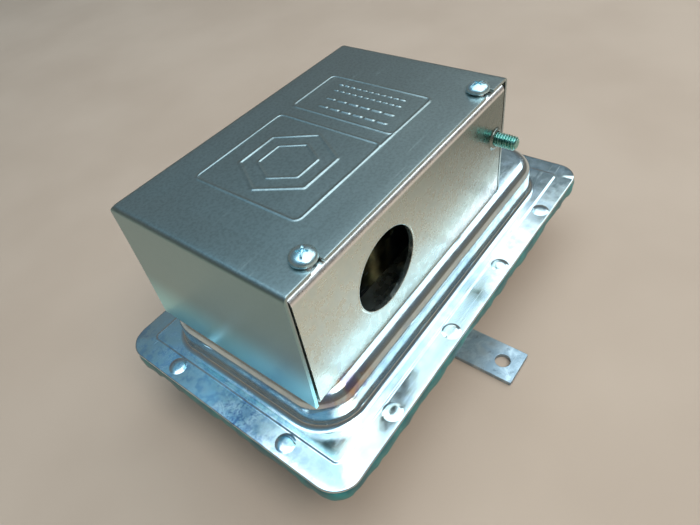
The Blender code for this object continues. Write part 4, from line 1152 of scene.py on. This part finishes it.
for x in SWITCH_SCREWS:
    across(body, x, SWITCH_SCREW_HEIGHT, 0, 40, 2.15)
for x in TERMINALS.values():
    drill(body, (x, MIDDLE, 64), (x, MIDDLE, 71), 2.1, 32)
stand_for(soften(body, 40), "switch_body")

piece = lathe("switch_button", [
    (0.0, 49.3), (0.9, 49.35), (1.45, 49.65), (1.8, 50.2), (1.8, 53.5), (1.5, 53.8), (0.0, 53.8)])
stand_for(place(soften(piece, 50), at(BUTTON, MIDDLE, 0)), "switch_plunger")

tip = arc(-10.0, MIDDLE + 1.5, 2.0, 0, 90, 8)
outline = [(x, 2 * MIDDLE - y) for x, y in tip[::-1]] + tip
outline = [(PIVOT[0], MIDDLE - 3.5)] + outline + [(PIVOT[0], MIDDLE + 3.5)]
blade = prism("switch_blade", outline, 48.4, 49.0)
join(blade, rod("c", (PIVOT[0], MIDDLE - 3.5, PIVOT[1]), (PIVOT[0], MIDDLE + 3.5, PIVOT[1]), 1.55))
across(blade, *PIVOT, 5, 30, 0.95, 28)
stand_for(soften(bevel(blade, 0.12, 2, 45), 40), "switch_lever")
piece = lathe("lever_pivot", [
    (0.0, 0.0), (0.45, 0.0), (0.65, 0.2), (0.65, 11.0), (0.45, 11.2), (0.0, 11.2)], 32)
stand_for(soften(place(piece, at(PIVOT[0], 11.6, PIVOT[1]) @ spin(-90, "X")), 50), "lever_pin")

for key, x in TERMINALS.items():
    outline = [(-4.5, -4.2), (-3.7, -5), (3.7, -5), (4.5, -4.2), (4.5, 4.2), (3.7, 5), (-3.7, 5), (-4.5, 4.2)]
    clamp = place(prism(f"terminal_{key}_clamp", outline, 70.3, 71.1), at(x, MIDDLE, 0))
    drill(clamp, (x, MIDDLE, 69), (x, MIDDLE, 73), 2.1, 32)
    bars = [block("c", (x - 6, MIDDLE + y - 0.14, 70.96), (x + 6, MIDDLE + y + 0.14, 72))
            for y in (-3.4, -3.95, -4.5, 3.4, 3.95, 4.5)]
    cut(clamp, merge(*bars))
    stand_for(soften(bevel(clamp, 0.06, 2, 60), 40), "terminal_" + key)
    screw = slotted_screw(f"terminal_{key}_binding_screw", 3.1, 2.0, 1.75, 6.4, 0.8, 20 + 9 * x)
    stand_for(place(screw, at(x, MIDDLE, 71.38)), "terminal_screw_" + key)

path = [(14.0, FOOT), (17.0, FOOT), (21.0, FOOT)] + arc(25.7, FOOT + 1.8, 1.8, 270, 360, 8)
path += [(27.5, z) for z in np.linspace(FOOT + 1.8, 66.0, 12)[1:]]
bracket = sheet_from("switch_bracket_folded", path[::-1], np.linspace(-46, 3, 24), 1.0)
cut(bracket, block("c", (-24, 10, 38), (-7, 30, 49)))
for x in SWITCH_SCREWS:
    across(bracket, x, SWITCH_SCREW_HEIGHT, 20, 32, 2.15)
stand_for(soften(bevel(bracket, 0.15, 2, 50), 50), "switch_bracket")
for i, x in enumerate(SWITCH_SCREWS, 1):
    screw = slotted_screw(f"switch_fixing_screw_{i}", 3.4, 1.98, 1.8, 18.9, 0.9, 35 * i)
    stand_for(place(screw, at(x, 8.5, SWITCH_SCREW_HEIGHT) @ spin(90, "X")), f"switch_screw_{i}")


# ---- every node's own mesh gets its finish; only some still show

for node, obj in frame["nodes"].items():
    paint(obj, node)
    if not obj.hide_render:
        mod = obj.modifiers.new("bevel", "BEVEL")
        mod.width = 0.12 * MM
        mod.segments = 2
        mod.limit_method = "ANGLE"
        mod.angle_limit = math.radians(40)


# ---- floor, light, camera

def floor():
    """A plain pale floor with the faintest clouding."""
    mesh = bpy.data.meshes.new("floor")
    mesh.from_pydata([(-3, -3, 0), (3, -3, 0), (3, 3, 0), (-3, 3, 0)], [], [(0, 1, 2, 3)])
    obj = link("floor", mesh)
    f = Finish("floor")
    cloud = f.noise(0.012, 3.0)
    colour = f.mix(f.remap(cloud, 0.3, 0.7), (0.50, 0.365, 0.275), (0.545, 0.405, 0.31))
    f.bump([(f.noise(0.8, 4.0), 0.03)])
    obj.data.materials.append(f.wire(colour, f.remap(cloud, 0.3, 0.7, 0.75, 0.85)))


def softbox(name, centre, size, radiance, colour, aim=None):
    """A rectangular light, which looks straight down unless it is aimed at a point."""
    data = bpy.data.lights.new(name, "AREA")
    data.shape = "RECTANGLE"
    data.size, data.size_y = size
    data.energy = radiance * math.pi * size[0] * size[1]
    data.color = colour
    obj = bpy.data.objects.new(name, data)
    scene.collection.objects.link(obj)
    obj.location = centre
    if aim:
        obj.rotation_euler = (Vector(centre) - Vector(aim)).to_track_quat("Z", "Y").to_euler()


def world():
    """The room's own light by height: warm below, cool grey at the horizon, and blue overhead."""
    scene.world = bpy.data.worlds.new("studio")
    scene.world.use_nodes = True
    tree = scene.world.node_tree
    tree.nodes.clear()
    kinds = ("TexCoord", "SeparateXYZ", "ValToRGB", "Background", "OutputWorld")
    coords, split, ramp, back, out = (tree.nodes.new("ShaderNode" + kind) for kind in kinds)
    for source, target in (
        (coords.outputs["Generated"], split), (split.outputs["Z"], ramp), (ramp.outputs[0], back),
        (back.outputs[0], out),
    ):
        tree.links.new(source, target.inputs[0])
    stops = [(0.0, (0.20, 0.16, 0.12)), (0.38, (0.14, 0.145, 0.15)), (0.62, (0.13, 0.175, 0.20)),
             (0.72, (0.13, 0.22, 0.27)), (0.79, (0.14, 0.36, 0.54)), (1.0, (0.22, 0.42, 0.58))]
    first, last = ramp.color_ramp.elements
    first.position, first.color = stops[0][0], (*stops[0][1], 1)
    last.position, last.color = stops[-1][0], (*stops[-1][1], 1)
    for position, colour in stops[1:-1]:
        ramp.color_ramp.elements.new(position).color = (*colour, 1)


floor()
world()
softbox("ceiling", (0.30, -0.20, 1.0), (1.6, 1.40), 1.7, (0.90, 0.98, 1.0))
softbox("ceiling_side", (1.45, -0.56, 1.0), (0.7, 0.88), 2.5, (0.92, 0.98, 1.0))
softbox("front", (-0.06, -0.42, 0.62), (0.30, 0.30), 4.5, (1.0, 0.97, 0.90), aim=(-0.02, -0.08, 0.0))

cam_data = bpy.data.cameras.new("camera")
cam_data.sensor_width = 36.0
cam_data.lens = 27.62
cam_data.clip_start = 0.005
camera = bpy.data.objects.new("camera", cam_data)
scene.collection.objects.link(camera)
right = Vector((0.59878, -0.79013, -0.13099))
up = Vector((0.62464, 0.35834, 0.69384))
back = Vector((-0.50129, -0.49727, 0.70812))
camera.matrix_world = at(-0.0962, -0.0850, 0.1520) @ Matrix((right, up, back)).transposed().to_4x4()
scene.camera = camera
scene.view_settings.view_transform = "Standard"

bpy.context.view_layer.update()
